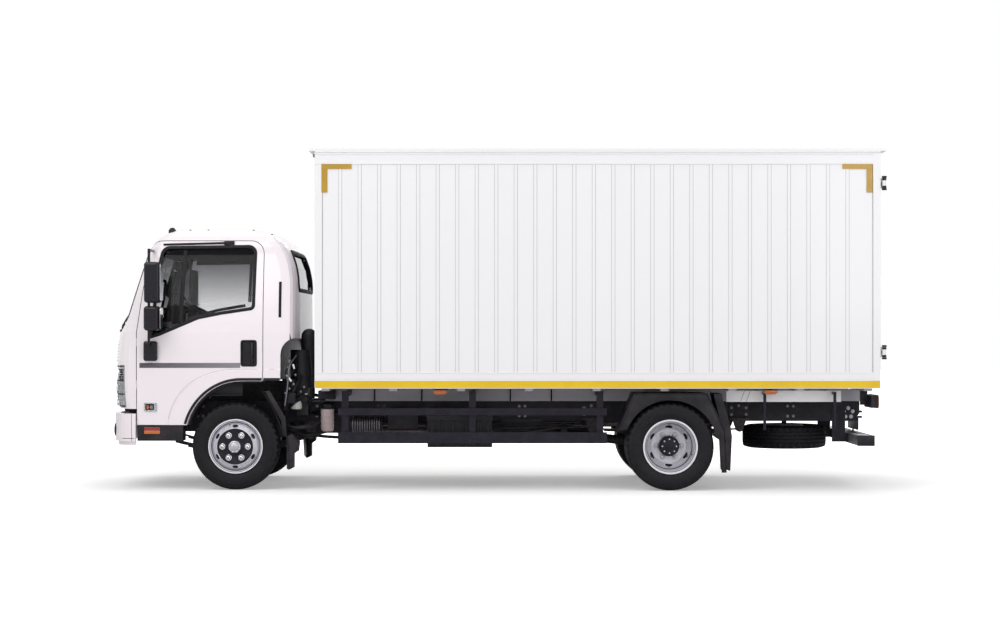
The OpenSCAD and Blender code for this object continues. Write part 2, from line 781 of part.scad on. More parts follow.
module knuckle() {
    color("#2c2a30") {
        // Kingpin with its two ears
        translate([0, kingpin_y, axle_z - ear_z - ear_t]) cylinder(r = pin_r, h = 2 * (ear_z + ear_t));
        for (z = [-ear_z - ear_t, ear_z]) {
            translate([0, kingpin_y, axle_z + z]) cylinder(r = 34, h = ear_t);
            block([-30, kingpin_y, axle_z + z], [30, kingpin_y + 62, axle_z + z + ear_t]);
        }
        block([-30, kingpin_y + 37, axle_z - ear_z - ear_t], [30, kingpin_y + 62, axle_z + ear_z + ear_t]);
        translate([0, kingpin_y + 60, axle_z]) rotate([-90, 0, 0])
            cylinder(r = spindle_r, h = track_front / 2 + wheel_offset + 12 - kingpin_y - 60);
        // Steering arm towards the tie rod
        block([-25, kingpin_y - 12, tie_rod_z + 20], [25, kingpin_y + 12, axle_z - ear_z - ear_t + 1]);
        block([-steer_arm, kingpin_y - 12, tie_rod_z + 20], [-20, kingpin_y + 12, tie_rod_z + 42]);
        translate([-steer_arm, kingpin_y, tie_rod_z - 12]) cylinder(r = 8, h = 34);
        translate([-steer_arm, kingpin_y, tie_rod_z + 20]) cylinder(r = 14, h = 22);
    }
}

module knuckle_left() {
    knuckle();
}

module knuckle_right() {
    mirror([0, 1, 0]) knuckle();
}

module tie_rod() {
    color("#2c2a30") difference() {
        union() {
            translate([-steer_arm, -kingpin_y, tie_rod_z]) rotate([-90, 0, 0]) cylinder(r = 13, h = 2 * kingpin_y);
            for (s = [-1, 1]) translate([-steer_arm, s * kingpin_y, tie_rod_z - 14])
                cylinder(r = 16, h = 28);
        }
        for (s = [-1, 1]) translate([-steer_arm, s * kingpin_y, tie_rod_z - 30])
            cylinder(r = 8 + 0.5, h = 60);
    }
}

// ---------- cab surfaces ----------

function clamp01(v) = min(1, max(0, v));

// 0 at the eaves, 1 at the top of the roof, growing like a quarter circle
function dome(h) = h <= eaves_h ? 0
    : 1 - sqrt(max(0, 1 - pow((h - eaves_h) / (roof_h - eaves_h), 2)));

function cab_half(h) = cab_w / 2 - 150 * dome(h)
    - (h > belt_h ? tumblehome * pow(clamp01((h - belt_h) / (eaves_h - belt_h)), 1.5)
                  : 20 * pow((belt_h - h) / belt_h, 2));

function screen_x(h) = 1023 - 0.3286 * (h - screen_h) - 200 * dome(h);

function face_x(h) = nose_x - 22 * pow((h - bulge_h) / 400, 2)
    - (h < chin_h ? 20 * pow((chin_h - max(h, panel_h)) / (chin_h - panel_h), 2) : 0);

function nose(h) = h < cowl_h ? face_x(h)
    : h < screen_h ? face_x(cowl_h) + (screen_x(screen_h) - face_x(cowl_h)) * (h - cowl_h) / (screen_h - cowl_h)
    : screen_x(h);

function nose_depth(h) = 400 - 180 * clamp01((h - cowl_h) / (eaves_h - cowl_h));

back_h = roof_h - 545; // above this height the back leans forward into the roof

function tail(h) = h <= back_h ? -cab_rear
    : 385 - cab_rear - 385 * pow(max(0, 1 - pow((h - back_h) / (roof_h - back_h), 2.3)), 1 / 2.3);

tail_depth = 130;

// Half-width of the cab's skin at a place ahead of the doors' middle
function skin_y(x, h) =
    cab_half(h) * pow(1 - pow(clamp01((x - nose(h) + nose_depth(h)) / nose_depth(h)), 4), 0.25);

// Outline of the cab at height h, drawn inwards by t, as points at height z
function ring(h, t, z) =
    let (w = cab_half(h) - t, d = nose_depth(h) - t, x0 = nose(h) - nose_depth(h),
         e = tail_depth - t, x1 = tail(h) + tail_depth)
    concat(
        [for (i = [-9:9]) let (a = 10 * i)
            [x0 + d * sqrt(max(0, cos(a))), w * sign(a) * sqrt(abs(sin(a))), z]],
        [for (i = [6:-1:-6]) let (a = 15 * i)
            [x1 - e * pow(max(0, cos(a)), 0.4), w * sign(a) * pow(abs(sin(a)), 0.4), z]]);

dome_steps = 6;
cab_levels = concat([0, panel_h, chin_h, bulge_h, 560, 690, cowl_h, screen_h, 1050, back_h, 1290, 1400],
    [for (i = [0:dome_steps]) eaves_h + (roof_h - eaves_h) * sin(90 * i / dome_steps)]);

// The inner surface ends one wall thickness under the roof
function sink(h, t) = h - t * clamp01((h - 1290) / (roof_h - 1290));

// Body of the cab drawn inwards by t, from the sill up; with below it also reaches under the sill
module cab_loft(t, below = 0) {
    n = 19 + 13;
    levels = concat(below > 0 ? [-below] : [], cab_levels);
    for (i = [0:len(levels) - 2]) {
        a = levels[i];
        b = levels[i + 1];
        hull() polyhedron(points = concat(ring(a, t, sink(a, t)), ring(b, t, sink(b, t))),
            faces = [[for (k = [0:n - 1]) k], [for (k = [0:n - 1]) n + k]]);
    }
}

module cab_skin(t0, t1) {
    difference() {
        cab_loft(t0);
        cab_loft(t1, 10);
    }
}

// ---------- cab outlines, drawn in X and height ----------

module door_outline() {
    polygon(concat(
        [[door_front, 0], [door_front, cowl_h], [823, 1096], [774, eaves_h - 30]],
        arc(774 - 110, door_top - 110, 110, 25, 90),
        arc(door_rear + 110, door_top - 110, 110, 90, 180),
        [[door_rear, 0]]));
}

module side_window(grow = 0) {
    offset(delta = grow) polygon(concat(
        [[728, cowl_h - 39], [659, 1439]],
        arc(580, eaves_h - 20, 68, 20, 90),
        arc(-112, eaves_h + 2, 56, 90, 175),
        [[-158, 1040]],
        arc(-130, 1050, 28, 190, 270, 4),
        [[120, 985], [323, 944]]));
}

// Opening over the front wheel
module arch_outline(a, b, power, grow = 0) {
    polygon(concat(
        [for (i = [0:14]) let (u = 90 * i / 14)
            [arch_x + (a + grow) * pow(max(0, cos(u)), 2 / power),
             arch_z + (b + grow) * pow(max(0, sin(u)), 2 / power)]],
        [[-700, arch_z + b + grow], [-700, arch_z]]));
}

// Prism along Y on the left-hand side only
module left_prism() {
    side_plate(cab_w / 2 - 235, cab_w / 2 + 100) children();
}

module cab_frame() {
    translate([0, 0, sill_z]) children();
}

// ---------- cab pieces ----------

screen_half = cab_w / 2 - 205;
screen_half_top = screen_half - 55;
rear_window_half = 650;

module screen_outline(grow = 0) {
    offset(delta = grow) offset(r = 60) offset(delta = -60)
        polygon([[-screen_half, screen_h + 8], [screen_half, screen_h + 8],
                 [screen_half_top, eaves_h + 28], [-screen_half_top, eaves_h + 28]]);
}

module rear_window_outline(grow = 0) {
    offset(delta = grow) offset(r = 50) offset(delta = -50)
        polygon([[-rear_window_half, back_h + 18], [rear_window_half, back_h + 18],
                 [rear_window_half - 20, eaves_h + 20], [-rear_window_half + 20, eaves_h + 20]]);
}

// What the rear end of the cab leaves free below its back wall
module rear_notch(t) {
    side_plate(-cab_w, cab_w) polygon(concat(
        [[-900, -100], [notch_x + t, -100], [notch_x + t, notch_h - 150 + t]],
        arc(notch_x - 150 + t, notch_h - 150 + t, 150, 15, 90, 5),
        [[-900, notch_h + t]]));
}

lamp_h = [150, 525];
lamp_y = [cab_w / 2 - 370, cab_w / 2 - 60];

module lamp_blocks(grow) {
    both_sides() block([960 - grow, lamp_y[0] - grow, lamp_h[0] - grow],
                       [1200, lamp_y[1] + grow, lamp_h[1] + grow]);
}

panel_top = screen_h - 40;

module front_region(grow) {
    block([door_front + 20 - grow, -pillar_y - grow, panel_h - 1], [1200, pillar_y + grow, panel_top + grow]);
}

module flare_band() {
    intersection() {
        difference() {
            cab_loft(-16);
            cab_loft(10, 10);
        }
        left_prism() difference() {
            arch_outline(flare_a, flare_b, 2.4);
            arch_outline(arch_a, arch_b, 2);
        }
    }
}

step_y = cab_w / 2 - 180; // the step wells begin here
well_t = 20;

module cab_floor_parts() {
    difference() {
        union() {
            // Foot well, riser and seat deck
            block([riser_x, -cab_w, floor_h - 30], [1140, cab_w, floor_h]);
            block([riser_x, -cab_w, floor_h - 30], [riser_x + 30, cab_w, deck_h]);
            block([-cab_rear, -cab_w, deck_h - 30], [riser_x + 30, cab_w, deck_h]);
            // Walls of the step wells
            both_sides() block([step_rear, step_y - well_t, 0], [door_front, cab_w, floor_h]);
            // Wall under the back of the cab, and the ledge over it
            block([notch_x, -cab_w, side_bottom], [notch_x + cab_wall, cab_w, notch_h + cab_wall]);
            block([-cab_rear, -cab_w, notch_h], [notch_x + cab_wall, cab_w, notch_h + cab_wall]);
        }
        both_sides() block([step_rear + well_t, step_y, -1], [door_front - well_t, cab_w, floor_h + 1]);
    }
}

module cab_shell() {
    color("#f2f0f1") cab_frame() {
        difference() {
            union() {
                // Skin with its openings
                difference() {
                    union() {
                        cab_skin(0, cab_wall);
                        both_sides() flare_band();
                    }
                    both_sides() left_prism() offset(delta = door_gap) door_outline();
                    front_region(0);
                    lamp_blocks(seat_gap);
                    cross_plate(500, 1300) screen_outline();
                    cross_plate(-900, -200) rear_window_outline();
                }
                // The floor stays clear of the doors and reaches the skin away from them
                intersection() {
                    cab_loft(cab_wall + door_gap);
                    cab_floor_parts();
                }
                intersection() {
                    cab_loft(4);
                    cab_floor_parts();
                    union() {
                        block([-700, -cab_w, -1], [door_rear - door_gap, cab_w, roof_h]);
                        difference() {
                            both_sides() block([door_front + door_gap, pillar_y, -1], [1300, cab_w, roof_h]);
                            lamp_blocks(seat_gap);
                        }
                    }
                }
            }
            rear_notch(0);
            both_sides() side_plate(cab_w / 2 - cab_wall - 30, cab_w / 2 + 100) {
                arch_outline(arch_a, arch_b, 2);
                polygon([[-700, -10], [door_rear, -10], [door_rear, side_bottom], [-700, side_bottom]]);
            }
            // Nothing of the shell hangs below the floor behind the steps or ahead of the doors
            block([-700, -cab_w, -10], [step_rear, cab_w, floor_h - 31]);
            block([-700, -cab_w, -10], [riser_x, cab_w, side_bottom]);
            block([door_front + 3, -cab_w, -10], [1300, cab_w, panel_h]);
        }
        both_sides() {
            // Hinge arms under the floor
            difference() {
                side_plate(tilt_arm_y[0], tilt_arm_y[1])
                    polygon(concat([[tilt_x - 82, floor_h - 29], [tilt_x - 82, tilt_z - sill_z - tilt_eye_r]],
                                   arc(tilt_x, tilt_z - sill_z, tilt_eye_r, -90, 90, 10),
                                   [[tilt_x - 40, tilt_z - sill_z + tilt_eye_r], [tilt_x - 40, floor_h - 29]]));
                translate([tilt_x, 0, tilt_z - sill_z]) rotate([-90, 0, 0])
                    cylinder(r = tilt_pin_r + run_gap, h = cab_w);
            }
            // Door hinges in the front gaps of the doors
            for (h = door_hinge_h)
                block([door_front + seat_gap, cab_w / 2 - 40, h], [door_front + 20, cab_w / 2 - 18, h + 70]);
        }
    }
}

module cab_front_panel() {
    color("#f2f0f1") cab_frame() intersection() {
        difference() {
            cab_skin(0, cab_wall);
            lamp_blocks(seat_gap);
        }
        block([door_front + 20 + seat_gap, -pillar_y + seat_gap, panel_h],
              [1200, pillar_y - seat_gap, panel_top - seat_gap]);
    }
}

module cab_glass() {
    color("#30343a") cab_frame() {
        intersection() {
            cab_skin(16, 16 + glass_t);
            union() {
                cross_plate(500, 1300) screen_outline(-seat_gap);
                cross_plate(-900, -200) rear_window_outline(-seat_gap);
            }
        }
    }
}

module headlamps() {
    color("#d5d8dc") cab_frame() intersection() {
        cab_skin(0, cab_wall);
        lamp_blocks(0);
    }
}

seat_y = [[280, 780], [-200, 240], [-760, -230]];
seat_x = [-200, 270];

module seat(y0, y1) {
    block([seat_x[0], y0, deck_h + 20], [seat_x[1], y1, deck_h + 150]);
    block([seat_x[0] + 60, y0 + 60, deck_h + seat_gap], [seat_x[1] - 60, y1 - 60, deck_h + 21]);
    translate([seat_x[0] + 12, y0, deck_h + 100]) rotate([0, -6, 0]) block([-90, 8, 0], [0, y1 - y0 - 8, 600]);
}

module seats() {
    color("#3a3a40") cab_frame() for (y = seat_y) seat(y[0], y[1]);
}

module dashboard() {
    color("#2a2a2f") cab_frame() intersection() {
        cab_loft(cab_wall + seat_gap);
        block([700, -cab_w / 2 + 100, 660], [1200, cab_w / 2 - 100, cowl_h + 80]);
    }
}

wheel_at = [330, 500, 985];
wheel_tilt = 28;
column_len = (wheel_at[2] - floor_h) / cos(wheel_tilt);
column_top = 70;
shaft_r = 14;

module steering_wheel() {
    color("#1c1c20") cab_frame() translate(wheel_at) rotate([0, -wheel_tilt, 0]) {
        rotate_extrude($fn = 64) translate([215, 0]) circle(r = 14);
        translate([0, 0, -40]) cylinder(r = 62, h = 40);
        for (a = [60, 180, 300]) rotate([0, 0, a]) block([40, -16, -22], [212, 16, -8]);
        translate([0, 0, -column_top - 150]) cylinder(r = shaft_r, h = column_top + 115);
    }
}

// Fixed tube from the foot well up to just under the steering wheel
module steering_column() {
    color("#1c1c20") cab_frame() difference() {
        translate(wheel_at) rotate([0, -wheel_tilt, 0]) difference() {
            translate([0, 0, -column_len - 60]) cylinder(r = 36, h = column_len + 60 - column_top);
            translate([0, 0, -column_top - 180]) cylinder(r = shaft_r + run_gap, h = 200);
        }
        block([0, 0, -200], [1300, cab_w, floor_h + seat_gap]);
    }
}

module cab_steps() {
    color("#1d1a22") cab_frame() both_sides() {
        // Step tray with its outer skin, hung from the wall of the step well
        difference() {
            block([step_rear, step_y - well_t, -140], [door_front - 4, cab_w / 2 - 18, -seat_gap]);
            block([step_rear + 12, step_y - 10, -128], [door_front - 16, cab_w / 2 - 30, 1]);
            block([step_rear - 1, step_y + 50, -door_gap], [door_front, cab_w / 2, 1]);
        }
        // Brackets that hang the liner from the seat deck
        for (x = [arch_x - 60, arch_x + 60])
            block([x, cab_w / 2 - 360, arch_z + arch_b - 12], [x + 40, cab_w / 2 - 320, deck_h - 30 - seat_gap]);
        // Liner over the wheel
        difference() {
            side_plate(cab_w / 2 - 400, cab_w / 2 - cab_wall - 12) difference() {
                arch_outline(arch_a, arch_b, 2, -4);
                arch_outline(arch_a, arch_b, 2, -16);
                translate([-900, -300]) square([900 + arch_x - 185 + 20, 900]);
            }
            block([-900, -cab_w, -200], [1200, cab_w, 0]);
        }
    }
}

// ---------- doors ----------

module cab_door_left() {
    color("#f2f0f1") cab_frame() difference() {
        union() {
            intersection() {
                cab_skin(0, cab_wall);
                left_prism() door_outline();
            }
            intersection() {
                flare_band();
                left_prism() door_outline();
            }
        }
        left_prism() {
            side_window();
            arch_outline(arch_a, arch_b, 2);
        }
        // Recess behind the handle
        block([-191, cab_w / 2 - 26, 517], [-57, cab_w / 2 + 30, 740]);
    }
}

module cab_door_right() {
    mirror([0, 1, 0]) cab_door_left();
}

module door_glass_left() {
    color("#30343a") cab_frame() intersection() {
        cab_skin(22, 22 + glass_t);
        left_prism() side_window(-seat_gap);
    }
}

module door_glass_right() {
    mirror([0, 1, 0]) door_glass_left();
}

// ---------- mirrors ----------

mirror_y = cab_w / 2 + 150;

// Rounded housing: the hull of eight balls at its corners
module housing(low, high, r) {
    hull() for (x = [low[0] + r, high[0] - r]) for (y = [low[1] + r, high[1] - r])
        for (z = [low[2] + r, high[2] - r]) translate([x, y, z]) sphere(r = r, $fn = 16);
}

module mirrors_left() {
    color("#1d1a22") cab_frame() {
        housing([620, mirror_y - 95, 1067], [758, mirror_y + 95, 1423], 30);
        housing([628, mirror_y - 85, 826], [762, mirror_y + 85, 1040], 30);
        // Stay from the foot on the door up to the bracket at the roof
        bar([735, mirror_y - 60, 700], [735, mirror_y - 60, 1540], 12);
        bar([735, mirror_y - 60, 1530], [735, skin_y(735, 1530) + 10, 1530], 12);
        bar([735, mirror_y - 60, 708], [735, cab_w / 2 + 20, 700], 12);
        housing([670, cab_w / 2 + seat_gap, 561], [792, cab_w / 2 + 60, 736], 22);
    }
}

module mirrors_right() {
    mirror([0, 1, 0]) mirrors_left();
}

// ---------- rear end ----------

bar_z = [rail_z - 196, rail_z - 43];

module underrun_bar() {
    color("#b9bcc2") {
        block([bar_rear, -950, bar_z[0]], [frame_rear + 100, 950, bar_z[0] + 90]);
        both_sides() {
            block([frame_rear + 130, frame_w / 2 + seat_gap, bar_z[0] + 20],
                  [frame_rear + 250, frame_w / 2 + 10, rail_z + 120]);
            block([frame_rear + 60, frame_w / 2 + seat_gap, bar_z[0] + 10],
                  [frame_rear + 250, frame_w / 2 + 10, bar_z[0] + 90]);
        }
    }
}

module rear_lamps() {
    color("#7a1d1d") both_sides() {
        block([box_rear + 10, box_w / 2 - 420, rail_z + 140], [box_rear + 70, box_w / 2 - 60, rail_z + 250]);
        block([box_rear + 69, box_w / 2 - 300, rail_z + 160], [box_rear + 130, box_w / 2 - 260, bearer_top - seat_gap]);
    }
}

// ---------- assembly ----------

module place() {
    translate([origin_x, 0, 0]) children();
}

place() frame_rails();
place() crossmembers();
place() front_axle();
place() leaf_springs();
place() rear_axle();
place() engine();
place() propeller_shaft();
place() exhaust();
place() fuel_tank();
place() battery_box();
place() air_cleaner();
place() front_bumper();
place() floor_bearers();
place() cargo_floor();
place() box_side_left();
place() box_side_right();
place() box_front_wall();
place() box_roof();
place() rear_door_frame();
place() side_guards();
place() mudguards();
place() spare_wheel();
place() underrun_bar();
place() rear_lamps();
place() cab_shell();
place() cab_front_panel();
place() cab_glass();
place() seats();
place() dashboard();
place() steering_wheel();
place() steering_column();
place() cab_steps();
place() headlamps();
place() cab_door_left();
place() cab_door_right();
place() door_glass_left();
place() door_glass_right();
place() mirrors_left();
place() mirrors_right();
place() knuckle_left();
place() knuckle_right();
place() tie_rod();
place() front_wheel_left();
place() front_wheel_right();
place() front_tyre(1);  // front_tyre_left
place() front_tyre(-1);  // front_tyre_right
place() rear_wheels_left();
place() rear_wheels_right();
place() rear_tyres(1);  // rear_tyres_left
place() rear_tyres(-1);  // rear_tyres_right
place() rear_door_left();
place() rear_door_right();
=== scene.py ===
# Light forward-control box truck: the finishes, and the fine pieces around the fixed CAD frame.
# X points forward, Y to the truck's left, Z up, in metres. Lengths below are in millimetres,
# measured from the front axle (x), the middle of the truck (y) and the ground (z).
import math

import bpy
import bmesh
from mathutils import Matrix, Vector
from mathutils.bvhtree import BVHTree


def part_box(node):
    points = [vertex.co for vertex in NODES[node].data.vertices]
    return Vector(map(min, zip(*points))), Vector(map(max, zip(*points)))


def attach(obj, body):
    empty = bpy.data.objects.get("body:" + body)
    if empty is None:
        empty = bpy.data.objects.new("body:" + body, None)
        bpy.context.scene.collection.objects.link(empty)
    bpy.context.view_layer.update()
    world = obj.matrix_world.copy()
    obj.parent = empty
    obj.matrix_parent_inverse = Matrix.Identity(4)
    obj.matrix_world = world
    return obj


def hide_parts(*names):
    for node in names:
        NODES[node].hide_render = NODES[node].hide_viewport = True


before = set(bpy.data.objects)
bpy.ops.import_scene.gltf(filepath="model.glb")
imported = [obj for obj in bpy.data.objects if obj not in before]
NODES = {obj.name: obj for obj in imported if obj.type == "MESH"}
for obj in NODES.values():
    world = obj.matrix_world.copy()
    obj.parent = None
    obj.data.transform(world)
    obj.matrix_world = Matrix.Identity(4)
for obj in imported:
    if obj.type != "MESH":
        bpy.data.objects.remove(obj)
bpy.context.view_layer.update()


# ---------- measures taken from the frame ----------

def middle(node):
    low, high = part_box(node)
    return [(a + b) / 2 for a, b in zip(low, high)]


FRONT_AXLE = middle("front_tyre_left")
REAR_AXLE = middle("rear_tyres_left")
REAR_X = (REAR_AXLE[0] - FRONT_AXLE[0]) * 1000


def box_of(node):
    """Low and high corner of a node, in millimetres from the front axle, the middle and the ground."""
    return [((x - FRONT_AXLE[0]) * 1000, y * 1000, z * 1000) for x, y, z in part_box(node)]


TYRE_R = (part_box("front_tyre_left")[1][2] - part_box("front_tyre_left")[0][2]) / 2
TYRE_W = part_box("front_tyre_left")[1][1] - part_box("front_tyre_left")[0][1]
SPARE = middle("spare_wheel")[:2] + [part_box("spare_wheel")[0][2] + TYRE_W / 2]
TWIN_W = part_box("rear_tyres_left")[1][1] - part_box("rear_tyres_left")[0][1]
SILL = box_of("cab_door_left")[0][2]
DOOR_X = [corner[0] for corner in box_of("cab_door_left")]
BOX_LOW, BOX_HIGH = box_of("box_side_left")
FRAME_DEPTH = 65                            # the rear door frame, behind the cargo floor
BOX_X = [box_of("cargo_floor")[0][0] - FRAME_DEPTH, BOX_HIGH[0]]
BOX_Z = [BOX_LOW[2], BOX_HIGH[2]]
BOX_Y = BOX_HIGH[1]
RAIL_LOW, RAIL_HIGH = box_of("frame_rails")
RAIL_Z = [RAIL_LOW[2], RAIL_HIGH[2]]
RAIL_Y = RAIL_HIGH[1]
SIDES = {"left": 1, "right": -1}


def at(x, y, z):
    """A place in metres in the frame, from millimetres."""
    return Vector((FRONT_AXLE[0] + x / 1000, y / 1000, z / 1000))


def local(place):
    """Millimetres from a place in the frame, the reverse of at."""
    return (place - at(0, 0, 0)) * 1000


# ---------- mesh tools ----------

class Piece:
    """Gathers closed shapes, each with its material, into one joined mesh."""

    def __init__(self, name, body, *materials, slot=None):
        self.name = name
        self.body = body
        self.materials = materials
        self.slot = slot
        self.verts = []
        self.faces = []
        self.kinds = []

    def put(self, shape, kind=0):
        verts, faces = shape
        start = len(self.verts)
        self.verts += [Vector(v) for v in verts]
        self.faces += [[start + i for i in face] for face in faces]
        self.kinds += [kind] * len(faces)

    def both(self, shape, kind=0):
        """The shape and its mirror image on the other side of the truck."""
        verts, faces = shape
        mirrored = [(x, -y, z) for x, y, z in verts]
        self.put(shape, kind)
        self.put((mirrored, [face[::-1] for face in faces]), kind)

    def knob(self, skin, u, v, view, profile, axis, steps, kind=0):
        """A turned shape seated where the skin is met."""
        found = hit(skin, u, v, view)
        if found:
            self.put(lathe(profile, found[0], axis, steps), kind)

    def build(self, replaced=(), smooth=40, bevel=0):
        mesh = bpy.data.meshes.new(self.name)
        mesh.from_pydata(self.verts, [], self.faces)
        mesh.validate()
        for material in self.materials:
            mesh.materials.append(material)
        if len(mesh.polygons) == len(self.kinds):
            mesh.polygons.foreach_set("material_index", self.kinds)
        bm = bmesh.new()
        bm.from_mesh(mesh)
        bmesh.ops.recalc_face_normals(bm, faces=bm.faces)
        bm.to_mesh(mesh)
        bm.free()
        piece = bpy.data.objects.new(self.name, mesh)
        return settle(piece, self.body, replaced, smooth, bevel)


def settle(piece, body, replaced=(), smooth=40, bevel=0):
    """Links a finished piece, rounds its sharp edges and hangs it on its body."""
    if piece.name not in bpy.context.scene.collection.objects:
        bpy.context.scene.collection.objects.link(piece)
    if bevel:
        edge = piece.modifiers.new("edges", "BEVEL")
        edge.width = bevel / 1000
        edge.segments = 2
        edge.limit_method = "ANGLE"
        edge.angle_limit = math.radians(35)
        bake_modifiers(piece)
    piece.data.shade_smooth()
    piece.data.set_sharp_from_angle(angle=math.radians(smooth))
    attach(piece, body)
    if replaced:
        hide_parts(*replaced)
    return piece


def bake_modifiers(piece):
    """Turns a piece with its modifiers into a plain mesh."""
    graph = bpy.context.evaluated_depsgraph_get()
    graph.update()
    plain = bpy.data.meshes.new_from_object(piece.evaluated_get(graph))
    piece.modifiers.clear()
    piece.data = plain


def block(low, high):
    """Box between two opposite corners, in millimetres."""
    xs, ys, zs = (sorted(pair) for pair in zip(low, high))
    verts = [at(x, y, z) for x in xs for y in ys for z in zs]
    faces = [(0, 1, 3, 2), (4, 6, 7, 5), (0, 4, 5, 1), (2, 3, 7, 6), (0, 2, 6, 4), (1, 5, 7, 3)]
    return verts, faces


def loft(rings, loop=False):
    """Skin over rings of equally many points, with flat ends or joined into a loop."""
    count = len(rings[0])
    verts = [p for ring in rings for p in ring]
    faces = []
    spans = len(rings) if loop else len(rings) - 1
    for i in range(spans):
        a, b = i * count, (i + 1) % len(rings) * count
        for k in range(count):
            n = (k + 1) % count
            faces.append((a + k, a + n, b + n, b + k))
    if not loop:
        faces.append(tuple(range(count))[::-1])
        faces.append(tuple(range(len(verts) - count, len(verts))))
    return verts, faces


def prism(outline, low, high, place):
    """Straight prism: place(u, v, w) gives the point for outline point (u, v) at depth w."""
    return loft([[place(u, v, w) for u, v in outline] for w in (low, high)])


def side_prism(outline, y0, y1):
    return prism(outline, y0, y1, lambda u, v, w: at(u, w, v))


def front_prism(outline, x0, x1):
    return prism(outline, x0, x1, lambda u, v, w: at(w, u, v))


CORE = 0.4                                  # radius left open along the axis of turned shapes


def lathe(profile, centre, axis="y", steps=48, flip=1):
    """Closed profile of (radius, offset) in millimetres, turned about an axis through centre.

    The profile may be a function of the step, for shapes that change round the axis.
    """
    rings = []
    for i in range(steps):
        a = 2 * math.pi * i / steps
        ring = []
        for r, t in profile(i) if callable(profile) else profile:
            u, v, w = r * math.cos(a) / 1000, r * math.sin(a) / 1000, flip * t / 1000
            turned = {"y": (u, w, v), "z": (u, v, w), "x": (w, u, v)}[axis]
            ring.append(Vector(centre) + Vector(turned))
        rings.append(ring)
    return loft(rings, loop=True)


def tube(path, radius, sides=12):
    """Round bar or pipe along points in millimetres, with closed ends."""
    points = [at(*p) for p in path]
    rings = []
    up = None
    for i, p in enumerate(points):
        ahead = points[min(i + 1, len(points) - 1)] - points[max(i - 1, 0)]
        ahead.normalize()
        if up is None:
            up = Vector((0, 0, 1)) if abs(ahead.z) < 0.9 else Vector((1, 0, 0))
        up = (up - ahead * up.dot(ahead)).normalized()
        side = ahead.cross(up)
        rings.append([p + (up * math.cos(a) + side * math.sin(a)) * radius / 1000
                      for a in (2 * math.pi * k / sides for k in range(sides))])
    return loft(rings)


def smooth_path(points, steps=6):
    """A rounded path through a few points."""
    points = [Vector(p) for p in points]
    ends = [2 * points[0] - points[1]] + points + [2 * points[-1] - points[-2]]
    path = []
    for i in range(1, len(ends) - 2):
        a, b, c, d = ends[i - 1:i + 3]
        for k in range(steps):
            t = k / steps
            path.append(0.5 * (2 * b + (c - a) * t + (2 * a - 5 * b + 4 * c - d) * t * t
                               + (3 * b - a - 3 * c + d) * t ** 3))
    return path + [points[-1]]


def arc(cx, cz, r, start, end, steps=6):
    """Points on a circle, from one angle to another in degrees."""
    turns = [math.radians(start + (end - start) * i / steps) for i in range(steps + 1)]
    return [(cx + r * math.cos(a), cz + r * math.sin(a)) for a in turns]


def round_rect(x0, z0, x1, z1, r, steps=4):
    return (arc(x1 - r, z0 + r, r, -90, 0, steps) + arc(x1 - r, z1 - r, r, 0, 90, steps)
            + arc(x0 + r, z1 - r, r, 90, 180, steps) + arc(x0 + r, z0 + r, r, 180, 270, steps))


def outward(outline, k):
    """Outward direction of a closed anticlockwise outline at its k-th point."""
    before, after = outline[k - 1], outline[(k + 1) % len(outline)]
    d = Vector((after[1] - before[1], before[0] - after[0]))
    return d.normalized() if d.length else Vector((0, 0))


def grown(outline, by):
    return [tuple(Vector(p) + outward(outline, k) * by) for k, p in enumerate(outline)]


def skin_of(*nodes):
    """A surface to cast rays on, made of CAD nodes."""
    verts, faces = [], []
    for node in nodes:
        start = len(verts)
        mesh = NODES[node].data
        verts += [v.co.copy() for v in mesh.vertices]
        faces += [[start + i for i in p.vertices] for p in mesh.polygons]
    return BVHTree.FromPolygons(verts, faces)


def hit(skin, u, v, view):
    """Place and normal where the skin is met at (u, v).

    These are (x, z) from a side, (y, z) from the front or the back and (x, y) from above.
    """
    start, ray = {"left": (at(u, 3000, v), (0, -1, 0)), "right": (at(u, -3000, v), (0, 1, 0)),
                  "front": (at(4000, u, v), (-1, 0, 0)), "back": (at(-8000, u, v), (1, 0, 0)),
                  "top": (at(u, v, 4000), (0, 0, -1))}[view]
    place, normal, _, _ = skin.ray_cast(start, Vector(ray))
    if place is None:
        return None
    return place, (normal if normal.dot(Vector(ray)) < 0 else -normal)


def flat_way(view, d):
    """The direction in space of a direction in the plane of a view."""
    return {"left": Vector((d[0], 0, d[1])), "right": Vector((d[0], 0, d[1])),
            "front": Vector((0, d[0], d[1])), "back": Vector((0, d[0], d[1])),
            "top": Vector((d[0], d[1], 0))}[view]


def bead(skin, outline, view, section, closed=True):
    """A strip on the skin along an outline. The section gives (across, height) in millimetres."""
    rings = []
    for k, (u, v) in enumerate(outline):
        found = hit(skin, u, v, view)
        if found is None:
            continue
        place, normal = found
        if closed or 0 < k < len(outline) - 1:
            across = flat_way(view, outward(outline, k))
        else:
            a, b = outline[max(k - 1, 0)], outline[min(k + 1, len(outline) - 1)]
            across = flat_way(view, (b[1] - a[1], a[0] - b[0]))
        across = (across - normal * across.dot(normal)).normalized()
        rings.append([place + (across * s + normal * t) / 1000 for s, t in section])
    return loft(rings, loop=closed)


def patch(skin, outline, view, low, high):
    """A flat-backed badge or lens that follows the skin: raised from low to high above it."""
    rings = []
    for height in (low, high):
        ring = []
        for u, v in outline:
            found = hit(skin, u, v, view)
            if found:
                ring.append(found[0] + found[1] * height / 1000)
        rings.append(ring)
    if min(len(r) for r in rings) < 3:
        return [], []
    return loft(rings)


def along(x0, z0, x1, z1, steps):
    return [(x0 + (x1 - x0) * i / steps, z0 + (z1 - z0) * i / steps) for i in range(steps + 1)]


def strip(skin, ends, steps, view, section):
    """An open strip on the skin along a straight line."""
    return bead(skin, along(*ends, steps), view, section, closed=False)


